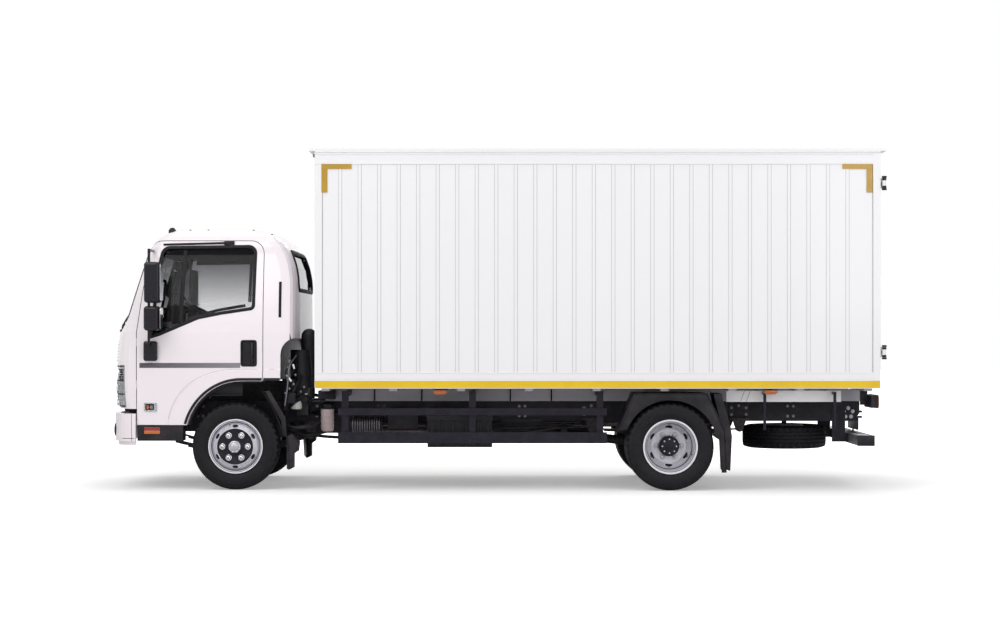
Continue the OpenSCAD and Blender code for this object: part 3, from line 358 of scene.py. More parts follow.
def flat(left, low, high, right=None):
    """Section of a flat strip, from one half width to the other."""
    right = right or left
    return [(-left, low), (-left, high), (right, high), (right, low)]


def divided(outline, step):
    """A closed outline with more points, about step millimetres apart."""
    points = []
    for k, a in enumerate(outline):
        b = outline[(k + 1) % len(outline)]
        points += along(*a, *b, max(1, round(math.dist(a, b) / step)))[:-1]
    return points


# ---------- repeated small parts, by Geometry Nodes ----------

def add(tree, kind, inputs=None, **settings):
    """Adds a node, with its settings and the values or links of its inputs."""
    node = tree.nodes.new(kind)
    for key, value in settings.items():
        setattr(node, key, value)
    for key, value in (inputs or {}).items():
        socket = node.inputs[key]
        if isinstance(value, bpy.types.NodeSocket):
            tree.links.new(value, socket)
        else:
            socket.default_value = value
    return node


def fastener_tree(name, sides, washer):
    """Heads of bolts or rivets on the vertices of a mesh, turned along its 'facing' attribute."""
    tree = bpy.data.node_groups.new(name, "GeometryNodeTree")
    face = tree.interface
    face.new_socket("Places", in_out="INPUT", socket_type="NodeSocketGeometry")
    for label in ("Radius", "Height"):
        face.new_socket(label, in_out="INPUT", socket_type="NodeSocketFloat")
    face.new_socket("Finish", in_out="INPUT", socket_type="NodeSocketMaterial")
    face.new_socket("Heads", in_out="OUTPUT", socket_type="NodeSocketGeometry")
    given = add(tree, "NodeGroupInput").outputs
    head = add(tree, "GeometryNodeMeshCylinder", {"Vertices": sides, "Radius": given["Radius"],
                                                  "Depth": given["Height"]}, fill_type="NGON")
    half = add(tree, "ShaderNodeMath", {0: given["Height"], 1: 0.5}, operation="MULTIPLY")
    lift = add(tree, "ShaderNodeCombineXYZ", {"Z": half.outputs[0]})
    lifted = add(tree, "GeometryNodeTransform", {"Geometry": head.outputs["Mesh"],
                                                 "Translation": lift.outputs[0]})
    shape = lifted.outputs[0]
    if washer:
        # As shares of the head's radius and height
        wide = add(tree, "ShaderNodeMath", {0: given["Radius"], 1: 1.45}, operation="MULTIPLY")
        thin = add(tree, "ShaderNodeMath", {0: given["Height"], 1: 0.3}, operation="MULTIPLY")
        ring = add(tree, "GeometryNodeMeshCylinder", {"Vertices": 20, "Radius": wide.outputs[0],
                                                      "Depth": thin.outputs[0]}, fill_type="NGON")
        joined = add(tree, "GeometryNodeJoinGeometry")
        tree.links.new(ring.outputs["Mesh"], joined.inputs[0])
        tree.links.new(shape, joined.inputs[0])
        shape = joined.outputs[0]
    facing = add(tree, "GeometryNodeInputNamedAttribute", {"Name": "facing"},
                 data_type="FLOAT_VECTOR").outputs["Attribute"]
    turn = add(tree, "FunctionNodeAlignRotationToVector", {"Vector": facing}, axis="Z")
    placed = add(tree, "GeometryNodeInstanceOnPoints", {"Points": given["Places"], "Instance": shape,
                                                        "Rotation": turn.outputs["Rotation"]})
    real = add(tree, "GeometryNodeRealizeInstances", {"Geometry": placed.outputs[0]})
    done = add(tree, "GeometryNodeSetMaterial", {"Geometry": real.outputs[0],
                                                 "Material": given["Finish"]})
    add(tree, "NodeGroupOutput", {"Heads": done.outputs[0]})
    return tree


BOLT_TREE = fastener_tree("hexagon_bolts", 6, True)
RIVET_TREE = fastener_tree("round_rivets", 10, False)


def fasteners(name, body, places, radius, height, material, tree=BOLT_TREE):
    """Bolts or rivets at (place, facing) pairs, made by the tree and turned to a plain mesh."""
    mesh = bpy.data.meshes.new(name)
    mesh.from_pydata([p for p, _ in places], [], [])
    facing = mesh.attributes.new("facing", "FLOAT_VECTOR", "POINT")
    facing.data.foreach_set("vector", [c for _, f in places for c in f])
    piece = bpy.data.objects.new(name, mesh)
    bpy.context.scene.collection.objects.link(piece)
    heads = piece.modifiers.new("heads", "NODES")
    heads.node_group = tree
    named = {s.name: s.identifier for s in tree.interface.items_tree if s.in_out == "INPUT"}
    heads[named["Radius"]] = radius / 1000
    heads[named["Height"]] = height / 1000
    heads[named["Finish"]] = material
    bake_modifiers(piece)
    return settle(piece, body, smooth=30)


# ---------- materials ----------

def linear(code):
    """sRGB hex to linear colour with alpha."""
    parts = [int(code[i:i + 2], 16) / 255 for i in (1, 3, 5)]
    return [c / 12.92 if c <= 0.04045 else ((c + 0.055) / 1.055) ** 2.4 for c in parts] + [1.0]


class Finish:
    """A material with its shader, ready for patterns in object coordinates."""

    def __init__(self, name, colour, **sockets):
        self.material = bpy.data.materials.new(name)
        self.material.use_nodes = True
        self.tree = self.material.node_tree
        self.tree.nodes.clear()
        self.shader = add(self.tree, "ShaderNodeBsdfPrincipled", {"Base Color": linear(colour)})
        for key, value in sockets.items():
            label = key.replace("_", " ").title().replace("Ior", "IOR")
            self.shader.inputs[label].default_value = value
        add(self.tree, "ShaderNodeOutputMaterial", {"Surface": self.shader.outputs[0]})
        self.coords = add(self.tree, "ShaderNodeTexCoord").outputs["Object"]

    def done(self, colour, rough=None, normal=None):
        """Links what is given to the shader and returns the material."""
        for name, socket in (("Base Color", colour), ("Roughness", rough), ("Normal", normal)):
            if socket is not None:
                self.tree.links.new(socket, self.shader.inputs[name])
        return self.material

    def cloud(self, size, detail=4.0, stretch=(1, 1, 1)):
        """Soft random pattern whose patches are about size millimetres wide."""
        scaled = add(self.tree, "ShaderNodeMapping", {"Vector": self.coords, "Scale": stretch})
        inputs = {"Vector": scaled.outputs[0], "Scale": 1000 / size, "Detail": detail, "Roughness": 0.55}
        return add(self.tree, "ShaderNodeTexNoise", inputs).outputs["Fac"]

    def spots(self, low, high, out_low, out_high, size, detail=4.0, stretch=(1, 1, 1)):
        """Cloud pattern mapped to new limits."""
        return self.band(self.cloud(size, detail, stretch), low, high, out_low, out_high)

    def wear(self, size, smooth, worn, detail=4.0):
        """Roughness between two values, in patches."""
        return self.spots(0.3, 0.7, smooth, worn, size, detail)

    def cells(self, size, feature="F1"):
        """Cell pattern with cells about size millimetres wide."""
        return add(self.tree, "ShaderNodeTexVoronoi", {"Vector": self.coords, "Scale": 1000 / size},
                   feature=feature).outputs

    def waves(self, pitch, way):
        """Ribs or threads that are pitch millimetres apart."""
        inputs = {"Vector": self.coords, "Scale": 1000 / pitch / (2 * math.pi)}
        return add(self.tree, "ShaderNodeTexWave", inputs, wave_type="BANDS", bands_direction=way,
                   wave_profile="SIN").outputs["Fac"]

    def band(self, value, low, high, out_low=0.0, out_high=1.0):
        """Maps a value from low-high to new limits, held at the ends."""
        inputs = {"Value": value, "From Min": low, "From Max": high, "To Min": out_low, "To Max": out_high}
        return add(self.tree, "ShaderNodeMapRange", inputs).outputs[0]

    def blend(self, amount, first, second):
        """Colour between two colours or sockets."""
        node = add(self.tree, "ShaderNodeMix", {"Factor": amount}, data_type="RGBA")
        for index, value in ((6, first), (7, second)):
            if isinstance(value, str):
                node.inputs[index].default_value = linear(value)
            else:
                self.tree.links.new(value, node.inputs[index])
        return node.outputs[2]

    def relief(self, height, depth, normal=None):
        """Bump of depth millimetres from a pattern of 0 to 1."""
        node = add(self.tree, "ShaderNodeBump", {"Height": height, "Distance": depth / 1000})
        if normal is not None:
            self.tree.links.new(normal, node.inputs["Normal"])
        return node.outputs[0]

    def height(self):
        return add(self.tree, "ShaderNodeSeparateXYZ", {"Vector": self.coords}).outputs["Z"]

    def times(self, a, b):
        return add(self.tree, "ShaderNodeMath", {0: a, 1: b}, operation="MULTIPLY").outputs[0]

    def dusty(self, colour, dust, top, amount, size=90):
        """Road dust that thins out upwards and lies in uneven patches."""
        low = self.band(self.height(), 0.1, top / 1000, amount, amount * 0.25)
        patches = self.spots(0.35, 0.7, 0, 1, size, 6.0)
        return self.blend(self.times(low, patches), colour, dust)


def enamel(name, colour, shade, ripple, rough=0.24, streaks=(1, 1, 1)):
    """Baked enamel: glossy, with a faint orange peel and slight clouding of the colour."""
    f = Finish(name, colour, roughness=rough, ior=1.5, coat_weight=0.35, coat_roughness=0.08)
    tint = f.blend(f.spots(0, 1, 0, 0.5, 1200, 1.0, streaks), colour, shade)
    dusted = f.dusty(tint, "#c9c1bd", 1300, 0.04, 500)
    gloss = f.spots(0, 1, rough - 0.02, rough + 0.03, 900, 1.0)
    # Orange peel of sprayed paint is about 8 mm wide and hardly deep
    peel = f.relief(f.cloud(8, 1.0), 0.004)
    return f.done(dusted, gloss, f.relief(f.cloud(600, 0.0, streaks), ripple, peel))


def satin_black(name, colour, dust, amount, rough):
    """Chassis paint: satin black over steel, filmed with grey road dust."""
    f = Finish(name, colour, roughness=rough, ior=1.3)
    tint = f.blend(f.spots(CORE, 0.7, 0, 0.5, 35), colour, "#201d25")
    return f.done(f.dusty(tint, dust, 1100, amount), f.wear(50, rough - 0.08, rough + 0.2),
                  f.relief(f.cloud(3, 2.0), 0.05))


def moulded(name, colour, rough=0.5, grain=1.6, depth=0.05, dust=0.18):
    """Moulded plastic or rubber: a fine leather-like grain that breaks the shine."""
    f = Finish(name, colour, roughness=rough, ior=1.34)
    return f.done(f.dusty(colour, "#6a6468", 1400, dust, 120), f.wear(45, rough - 0.07, rough + 0.12),
                  f.relief(f.cells(grain)["Distance"], depth))


def tyre_rubber():
    """Carbon-black rubber: matt, with fine mould lines and grey dust on the tread."""
    f = Finish("tyre_rubber_vulcanised", "#0f0d12", roughness=0.6, ior=1.32)
    tint = f.blend(f.spots(0.35, 0.7, 0.1, 0.8, 28, 6.0), "#0c0b10", "#15131a")
    dusted = f.blend(f.spots(0.45, 0.75, 0, 0.3, 140, 5.0), tint, "#242127")
    return f.done(dusted, f.wear(20, 0.5, 0.72), f.relief(f.cloud(2.2, 3.0), 0.12))


def wheel_enamel():
    """Silver enamel on pressed steel: metal flakes, brake dust in the hollows."""
    f = Finish("silver_wheel_enamel", "#d4d2da", metallic=0.3, roughness=0.36)
    flakes = f.blend(f.spots(0.35, 0.65, 0, 1, 1.4, 1.0), "#c2c0ca", "#e6e5ec")
    dusted = f.blend(f.spots(0.5, 0.78, 0, 0.45, 38, 6.0), flakes, "#8f8a90")
    return f.done(dusted, f.wear(30, 0.27, 0.5), f.relief(f.cloud(5, 2.0), 0.03))


def plated(name, colour, rough, size):
    """Bright plated steel or alloy, with faint wiping marks."""
    f = Finish(name, colour, metallic=1.0, roughness=rough)
    tint = f.blend(f.spots(0.45, 0.75, 0, 0.35, size, 5.0), colour, "#8c8a88")
    return f.done(tint, f.wear(size, max(rough - 0.05, 0.03), rough + 0.14, 3.0),
                  f.relief(f.cloud(6, 2.0), 0.01))


def galvanised():
    """Hot-dip galvanised steel: a spangle of dull crystals about 9 mm across."""
    f = Finish("hot_dip_galvanised_steel", "#a9acb2", metallic=0.9, roughness=0.48)
    shade = add(f.tree, "ShaderNodeSeparateColor", {"Color": f.cells(9)["Color"]}).outputs[0]
    tint = f.dusty(f.blend(shade, "#989ba1", "#bcbfc5"), "#6f6a69", 900, 0.4)
    return f.done(tint, f.band(shade, 0, 1, 0.38, 0.58), f.relief(shade, 0.02))


def cast_iron(name, colour, dust, amount):
    """Painted iron casting or forging: pebbled by the sand mould, greyed by dust."""
    f = Finish(name, colour, metallic=0.25, roughness=0.62)
    tint = f.blend(f.spots(0.45, 0.7, 0, 0.6, 22, 5.0), colour, "#4b443f")
    return f.done(f.dusty(tint, dust, 900, amount), f.wear(12, 0.5, 0.78),
                  f.relief(f.cloud(2.6, 4.0), 0.25))


def exhaust_steel():
    """Aluminised exhaust steel: dull, browned in patches by heat."""
    f = Finish("aluminised_exhaust_steel", "#7d7670", metallic=0.85, roughness=0.55)
    tint = f.blend(f.spots(CORE, 0.7, 0, 1, 120, 6.0), "#8a847e", "#5a4436")
    return f.done(tint, f.wear(30, 0.42, 0.72), f.relief(f.cloud(3, 3.0), 0.08))


def safety_glass():
    """Laminated and toughened glass: clear with a slight grey tint, a painted shade that darkens it towards
    the top, and a film of dust.
    """
    f = Finish("tinted_safety_glass", "#dfe6e6", roughness=0.0, ior=1.2, transmission_weight=1.0)
    # Painted shade band: the glass is darker towards its top edge
    shade = f.band(f.height(), (SILL + 960) / 1000, (SILL + 1540) / 1000)
    tint = f.blend(shade, "#f1f1f1", "#7b7b80")
    dusted = f.blend(f.spots(0.5, 0.8, 0, 0.15, 260, 5.0), tint, "#c3c6c6")
    return f.done(dusted, f.spots(0.5, 0.85, 0, 0.05, 180, 6.0))


def lens(name, colour, rib, clear):
    """Moulded lamp lens: clear acrylic over ribs that are rib millimetres apart."""
    f = Finish(name, colour, roughness=0.08, ior=1.49, transmission_weight=clear, coat_weight=0.6)
    ribs = f.waves(rib, "X")
    tint = f.blend(f.band(ribs, 0, 1, 0, 0.3), colour, "#3a1d12")
    return f.done(tint, f.wear(30, 0.05, 0.16), f.relief(ribs, 0.35))


def reflective_tape(name, colour, dark):
    """Retroreflective marking film: tiny cells under a clear face, with printed cell seams."""
    f = Finish(name, colour, roughness=0.35, ior=1.5, coat_weight=0.5)
    cells = f.cells(5, "DISTANCE_TO_EDGE")["Distance"]
    tint = f.blend(f.band(cells, 0.0, 0.08, 0.5, 0.0), colour, dark)
    soiled = f.blend(f.spots(CORE, 0.7, 0, 0.45, 240), tint, dark)
    return f.done(soiled, f.wear(60, 0.28, 0.45), f.relief(cells, 0.05))


def plywood():
    """Phenolic-faced plywood: brown, with long grain and a scuffed film."""
    f = Finish("film_faced_plywood", "#7a5c40", roughness=0.5, ior=1.5)
    grain = f.cloud(18, 8.0, (0.06, 1, 1))
    tint = f.blend(f.band(grain, 0.35, 0.7), "#8a6a4a", "#5d432c")
    return f.done(tint, f.wear(80, 0.4, 0.65), f.relief(grain, 0.15))


def seat_cloth():
    """Woven seat cloth: threads about 3 mm apart, drawn as coarse as shows."""
    f = Finish("woven_seat_cloth", "#3f4046", roughness=0.92, sheen_weight=0.3, sheen_roughness=0.5)
    weave = f.times(f.waves(3, "Y"), f.waves(3, "Z"))
    tint = f.blend(f.band(weave, 0, 0.8), "#2c2d32", "#55565d")
    return f.done(tint, f.wear(30, 0.82, 0.96), f.relief(weave, 0.5))


def door_stripe():
    """Printed vinyl stripe: dark grey at the front of the door, fading lighter to the rear."""
    f = Finish("vinyl_door_stripe", "#56525b", roughness=0.3, ior=1.5)
    x = add(f.tree, "ShaderNodeSeparateXYZ", {"Vector": f.coords}).outputs["X"]
    fade = f.band(x, at(-60, 0, 0).x, at(840, 0, 0).x)
    tint = f.blend(fade, "#8f8992", "#3d3a43")
    scuffed = f.blend(f.spots(CORE, 0.7, 0, 0.5, 60, 3.0, (1, 1, 6)), tint, "#77727b")
    return f.done(scuffed, f.wear(40, 0.25, 0.4))


CAB_WHITE = enamel("cab_white_enamel", "#f5edf1", "#ece2e8", 0.12)
BOX_WHITE = enamel("box_white_enamel", "#f2f1f3", "#e9e8ec", 0.25, 0.3, (1, 1, 0.25))
BEARER_GREY = enamel("light_grey_enamel", "#aeacb6", "#9a98a3", 0.1, 0.4)
FRAME_BLACK = satin_black("chassis_black_enamel", "#15121c", "#3c3748", 0.35, 0.36)
TANK_BLACK = satin_black("tank_black_enamel", "#15131a", "#403c42", 0.3, 0.32)
AXLE_IRON = cast_iron("forged_axle_iron", "#1a181e", "#3f3a3b", 0.45)
ENGINE_IRON = cast_iron("engine_casting", "#2c2b30", "#38342f", 0.4)
EXHAUST = exhaust_steel()
BLACK_PLASTIC = moulded("black_polypropylene", "#151319", 0.42)
GLOSS_PLASTIC = moulded("mirror_housing_plastic", "#1c1a22", 0.2, 2.4, 0.01, 0.05)
CAB_PLASTIC = moulded("grey_interior_plastic", "#222126", 0.6, 2.2, 0.08, 0.0)
DARK_TRIM = moulded("dark_interior_plastic", "#232328", 0.55, 2.2, 0.08, 0.0)
SEAL = moulded("black_door_rubber", "#131116", 0.55, 3.5, 0.04, 0.06)
FLAP = moulded("mud_flap_rubber", "#131116", 0.6, 6.0, 0.15, 0.25)
TYRE = tyre_rubber()
WHEEL_SILVER = wheel_enamel()
# Brighter silver, a painted highlight on the wheels' beads, rings and hole lips
RIM_HIGHLIGHT = enamel("silver_highlight_enamel", "#f0eff4", "#e2e1e8", 0.05, 0.3)
GALVANISED = galvanised()
CHROME = plated("bright_chrome_plate", "#e3e5e8", 0.07, 70)
ALLOY = plated("cast_aluminium_alloy", "#b9bbc0", 0.36, 25)
DULL_ZINC = plated("dull_zinc_plate", "#77747b", 0.45, 18)
MIRROR = plated("silvered_mirror_glass", "#edf0f2", 0.04, 300)
GLASS = safety_glass()
CLEAR_LENS = lens("clear_acrylic_lens", "#e9ecef", 22, 0.75)
AMBER_LENS = lens("amber_acrylic_lens", "#e2761c", 6, 0.15)
RED_LENS = lens("red_acrylic_lens", "#a3161a", 6, 0.15)
YELLOW_TAPE = reflective_tape("yellow_marking_film", "#e9c406", "#d8a806")
ORANGE_TAPE = reflective_tape("amber_marking_film", "#bd9415", "#a57f10")
WHITE_PLATE = enamel("blank_plate_enamel", "#f1f1ee", "#e2e2de", 0.1)
PLYWOOD = plywood()
CLOTH = seat_cloth()
STRIPE = door_stripe()
FILTER_WHITE = moulded("white_filter_can", "#c9b7b8", 0.4, 4.0, 0.03, 0.5)

NODE_FINISH = {
    FRAME_BLACK: ["frame_rails", "crossmembers", "side_guards"],
    AXLE_IRON: ["front_axle", "leaf_springs", "rear_axle", "propeller_shaft", "knuckle_left",
                "knuckle_right", "tie_rod"],
    ENGINE_IRON: ["engine"],
    EXHAUST: ["exhaust"],
    TANK_BLACK: ["fuel_tank", "battery_box"],
    BLACK_PLASTIC: ["air_cleaner", "mudguards", "cab_steps", "steering_wheel", "steering_column",
                    "rear_lamps"],
    GLOSS_PLASTIC: ["mirrors_left", "mirrors_right"],
    DARK_TRIM: ["dashboard"],
    CAB_WHITE: ["front_bumper", "cab_shell", "cab_front_panel", "cab_door_left", "cab_door_right"],
    BOX_WHITE: ["box_side_left", "box_side_right", "box_front_wall", "box_roof", "rear_door_frame",
                "rear_door_left", "rear_door_right"],
    BEARER_GREY: ["floor_bearers"],
    PLYWOOD: ["cargo_floor"],
    TYRE: ["front_tyre_left", "front_tyre_right", "rear_tyres_left", "rear_tyres_right",
           "spare_wheel"],
    WHEEL_SILVER: ["front_wheel_left", "front_wheel_right", "rear_wheels_left",
                   "rear_wheels_right"],
    GALVANISED: ["underrun_bar"],
    CLEAR_LENS: ["headlamps"],
    GLASS: ["cab_glass", "door_glass_left", "door_glass_right"],
    CLOTH: ["seats"],
}
for material, names in NODE_FINISH.items():
    for name in names:
        NODES[name].data.materials.clear()
        NODES[name].data.materials.append(material)
        NODES[name].data.shade_smooth()
        NODES[name].data.set_sharp_from_angle(angle=math.radians(32))

# The inner faces of the cab are trimmed in grey plastic. A face looks inwards where most rays
# sent out from it meet the cab again.
CAB_PARTS = ["cab_shell", "cab_front_panel", "cab_door_left", "cab_door_right"]
cab_skin = skin_of(*CAB_PARTS)


LINING_FROM = SILL + 180                    # the lining begins at this height
LINING_REACH = 3.0                          # metres that a ray may travel across the cab


def line_inside(node):
    mesh = NODES[node].data
    mesh.materials.append(CAB_PLASTIC)
    for face in mesh.polygons:
        normal = face.normal
        lean = normal.orthogonal() * 0.35
        turn = normal.cross(lean)
        rays = [normal, normal + lean, normal - lean, normal + turn, normal - turn]
        start = face.center + normal * 0.003
        met = sum(cab_skin.ray_cast(start, ray.normalized(), LINING_REACH)[0] is not None for ray in rays)
        if met > len(rays) / 2 and local(face.center).z > LINING_FROM:
            face.material_index = 1


def repaint(node, material, chosen):
    """Gives the faces of a node whose centre and normal are chosen another finish."""
    mesh = NODES[node].data
    mesh.materials.append(material)
    for face in mesh.polygons:
        if chosen(local(face.center), face.normal):
            face.material_index = len(mesh.materials) - 1


for name in CAB_PARTS:
    line_inside(name)
# The lower back of the cab is painted black as painted shade for the shaded clutter behind it, and the bar's
# brackets are frame parts
repaint("cab_shell", BLACK_PLASTIC, lambda p, n: p.x < -392 and p.z < SILL + 772 and n.x < -0.25)
repaint("underrun_bar", FRAME_BLACK, lambda p, n: abs(p.y) < 437)


# ---------- stage, light and camera ----------

def background_shader(tree, colour, strength):
    """Light for the object, with a white background for the camera, mirrors and glass."""
    path = add(tree, "ShaderNodeLightPath").outputs
    seen = path["Is Camera Ray"]
    for ray in ("Is Glossy Ray", "Is Transmission Ray"):
        seen = add(tree, "ShaderNodeMath", {0: seen, 1: path[ray]}, operation="MAXIMUM").outputs[0]
    light = add(tree, "ShaderNodeBackground", {"Color": linear(colour), "Strength": strength})
    white = add(tree, "ShaderNodeBackground", {"Color": (1, 1, 1, 1), "Strength": 1.0})
    mixed = add(tree, "ShaderNodeMixShader", {0: seen, 1: light.outputs[0], 2: white.outputs[0]})
    add(tree, "ShaderNodeOutputWorld", {"Surface": mixed.outputs[0]})


# Name, place, aim, width in metres and power in watts
LAMPS = (("key", (5.5, 9.0, 8.0), (0, 0, 1.2), 7.0, 430),
         ("fill", (-7.0, 10.0, 5.0), (-1, 0, 1.2), 7.0, 260),
         ("back", (-3.0, -11.0, 7.0), (0, 0, 1.5), 8.0, 340),
         ("top", (0.0, 0.0, 9.0), (0, 0, 0), 9.0, 260))
FLOOR_REACH = 60                            # metres from the middle to the floor's edges
CAMERA_PLACE = (-0.040, 19.39, 1.38)
FOCAL_LENGTH = 75.6                         # millimetres, with a sensor 36 mm wide
RISE = 0.022                                # upward shift of the lens, in widths of the view


def make_stage():
    world = bpy.data.worlds.new("studio")
    world.use_nodes = True
    world.node_tree.nodes.clear()
    background_shader(world.node_tree, "#ffffff", 0.5)
    bpy.context.scene.world = world

    mesh = bpy.data.meshes.new("studio_floor")
    corners = ((-1, -1), (1, -1), (1, 1), (-1, 1))
    mesh.from_pydata([(x * FLOOR_REACH, y * FLOOR_REACH, 0) for x, y in corners], [], [(0, 1, 2, 3)])
    floor = bpy.data.objects.new("studio_floor", mesh)
    bpy.context.scene.collection.objects.link(floor)
    paper = bpy.data.materials.new("white_studio_paper")
    paper.use_nodes = True
    tree = paper.node_tree
    tree.nodes.clear()
    lit = add(tree, "ShaderNodeBsdfDiffuse", {"Color": (0.88, 0.88, 0.88, 1)})
    # Lifts the lit paper to full white for the camera, more where the lamps don't reach
    coords = add(tree, "ShaderNodeTexCoord").outputs["Object"]
    reached = add(tree, "ShaderNodeVectorMath", {0: coords}, operation="LENGTH").outputs["Value"]
    glow = add(tree, "ShaderNodeMapRange", {"Value": reached, "From Min": 3.6, "From Max": 7.5,
                                            "To Min": 0.3, "To Max": 1.0}).outputs[0]
    lift = add(tree, "ShaderNodeEmission", {"Color": (1, 1, 1, 1), "Strength": glow})
    both = add(tree, "ShaderNodeAddShader", {0: lit.outputs[0], 1: lift.outputs[0]})
    seen = add(tree, "ShaderNodeLightPath").outputs["Is Camera Ray"]
    mixed = add(tree, "ShaderNodeMixShader", {0: seen, 1: lit.outputs[0], 2: both.outputs[0]})
    add(tree, "ShaderNodeOutputMaterial", {"Surface": mixed.outputs[0]})
    mesh.materials.append(paper)

    for name, place, aim, size, power in LAMPS:
        lamp = bpy.data.lights.new(name, "AREA")
        lamp.shape = "SQUARE"
        lamp.size = size
        lamp.energy = power
        light = bpy.data.objects.new(name, lamp)
        light.location = place
        light.rotation_euler = (Vector(aim) - Vector(place)).to_track_quat("-Z", "Y").to_euler()
        bpy.context.scene.collection.objects.link(light)


def make_camera():
    """Level camera on the truck's left, at chest height."""
    optics = bpy.data.cameras.new("camera")
    optics.sensor_width = 36
    optics.lens = FOCAL_LENGTH
    optics.shift_y = RISE
    optics.clip_end = 200
    camera = bpy.data.objects.new("camera", optics)
    camera.location = CAMERA_PLACE
    camera.rotation_euler = (math.radians(90), 0, math.radians(180))
    bpy.context.scene.collection.objects.link(camera)
    bpy.context.scene.camera = camera


make_stage()
make_camera()
bpy.context.scene.view_settings.view_transform = "Standard"


# ---------- tyres and wheels ----------

def tread_offset(step, phase):
    """Zigzag of the grooves: a triangle wave over four steps, 3 mm each way."""
    return 3.0 * (1, 0, -1, 0)[(step + phase) % 4]


TYRE_STEPS = 240
GROOVES = (-50, -17, 17, 50)
GROOVE_DEPTH = 9


def tyre_profile(step):
    """Cross-section of a ribbed truck tyre as (radius, offset), at one step around the wheel."""
    r, w = TYRE_R * 1000, TYRE_W * 500
    half = w - 18
    edge = 6 if step % 6 < 2 else 0         # notches in the shoulder
    crown = lambda y: r - 3.5 * (y / half) ** 2
    side = [(r * 0.585, -w * 0.70), (r * 0.615, -w * 0.80), (r * 0.64, -w * 0.86),
            (r * 0.655, -w * 0.86), (r * 0.70, -w * 0.955), (r * 0.77, -w * 0.995),
            (r * 0.84, -w * 0.99), (r * 0.865, -w * 0.985), (r * 0.87, -w * 0.965),
            (r * 0.905, -w * 0.945), (r * 0.945, -w * 0.90), (r - 14 - edge * 0.5, -half - 3 + edge),
            (r - 6 - edge, -half + 2 + edge)]
    tread = []
    for index, y in enumerate(GROOVES):
        shift = tread_offset(step, index)
        lower = r - GROOVE_DEPTH - 1
        tread += [(crown(y - 5), y - 5 + shift), (lower, y - 3 + shift),
                  (lower, y + 3 + shift), (crown(y + 5), y + 5 + shift)]
    mirror = [(radius, -offset) for radius, offset in side[::-1]]
    return side + tread + mirror + [(r * 0.58, w * 0.62), (r * 0.58, -w * 0.62)]


def tyre(centre, axis="y"):
    return lathe(tyre_profile, centre, axis, TYRE_STEPS)


def tyres():
    offset = (TWIN_W - TYRE_W) / 2
    for side in SIDES:
        front = Piece(f"front_tyre_{side}_tread", f"front_wheel_{side}", TYRE, slot="tyre_rubber")
        front.put(tyre(middle(f"front_tyre_{side}")))
        front.build([f"front_tyre_{side}"], smooth=28)
        rear = Piece(f"rear_tyres_{side}_tread", f"rear_wheels_{side}", TYRE, slot="tyre_rubber")
        x, y, z = middle(f"rear_tyres_{side}")
        for shift in (-offset, offset):
            rear.put(tyre((x, y + shift, z)))
        rear.build([f"rear_tyres_{side}"], smooth=28)
    spare = Piece("spare_tyre_and_rim", "chassis", TYRE, WHEEL_SILVER, slot="tyre_rubber")
    spare.put(tyre(SPARE, "z"))
    rim = [(226, -76), (238, -84), (238, -92), (222, -92), (212, -66), (206, -40), (206, 24),
           (184, 76), (150, 104), (36, 106), (36, 114), (156, 114), (192, 86), (212, 50), (214, 62),
           (226, 90), (238, 90), (238, 84), (226, 76), (218, 40), (218, -40)]
    spare.put(lathe(rim, SPARE, "z", 72), 1)
    spare.build(["spare_wheel"], smooth=28)


def polar(centre, radius, turn, y, flip):
    """A point on a wheel's face: radius and angle about its axle, y outwards from centre."""
    a = math.radians(turn)
    return Vector(centre) + Vector((radius * math.cos(a), y * flip, radius * math.sin(a))) / 1000


def hexagon_nut(centre, radius, height, flip):
    """Chamfered wheel nut with a round flange and a domed end."""
    flange = [(0, 0), (radius * 1.25, 0), (radius * 1.25, 4), (radius * 1.1, 7), (0, 7)]
    dome = [(0, height - 4), (radius * 0.72, height - 4), (radius * 0.66, height + 3),
            (radius * 0.4, height + 7), (0, height + 8)]
    shapes = [lathe([(max(r, CORE), t) for r, t in part], centre, "y", 18, flip)
              for part in (flange, dome)]
    rings = [[polar(centre, r, 60 * k, y, flip) for k in range(6)]
             for r, y in ((radius, 6), (radius, height - 6), (radius * 0.86, height))]
    return shapes + [loft(rings)]


STUD_R = 222.25 / 2
STUDS = 6
# Outer face of the two discs: radius, and height from the front disc or from the twins' middle
FRONT_DISH = ((40, 0), (156, 0), (192, -34), (210, -68), (212, -52), (226, -29), (240, -29))
REAR_DISH = ((40, 12), (152, 12), (184, 44), (206, 96), (206.5, 160), (212, 188), (226, 211),
             (240, 211))


def dish_height(dish, radius):
    for (r0, h0), (r1, h1) in zip(dish, dish[1:]):
        if radius <= r1:
            return h0 + (h1 - h0) * max(radius - r0, 0) / (r1 - r0)
    return dish[-1][1]


def dish_ring(dish, inner, outer, lift):
    """Section of a raised band that follows the disc from one radius to another."""
    low, high = dish_height(dish, inner), dish_height(dish, outer)
    return [(inner, low - 1), (inner, low + lift), (outer, high + lift), (outer, high - 1)]


def hand_holes(centre, dish, radius, half, flip):
    """Dark slots over the hand holes as painted shade, with a rolled lip in painted highlight silver, round
    the sloping part of the disc.
    """
    shapes = []
    for k in range(STUDS):
        turn = 360 / STUDS * (k + 0.5)
        for size, low, high, kind in ((1.14, -0.5, 1.6, 3), (1.0, 1.5, 2.4, 1)):
            rings = []
            for lift in (low, high):
                ring = []
                for i in range(24):
                    a = 2 * math.pi * i / 24
                    r = radius + half[0] * size * math.cos(a)
                    spin = turn + math.degrees(half[1] * size * math.sin(a) / radius)
                    ring.append(polar(centre, r, spin, dish_height(dish, r) + lift, flip))
                rings.append(ring)
            shapes.append((loft(rings), kind))
    return shapes


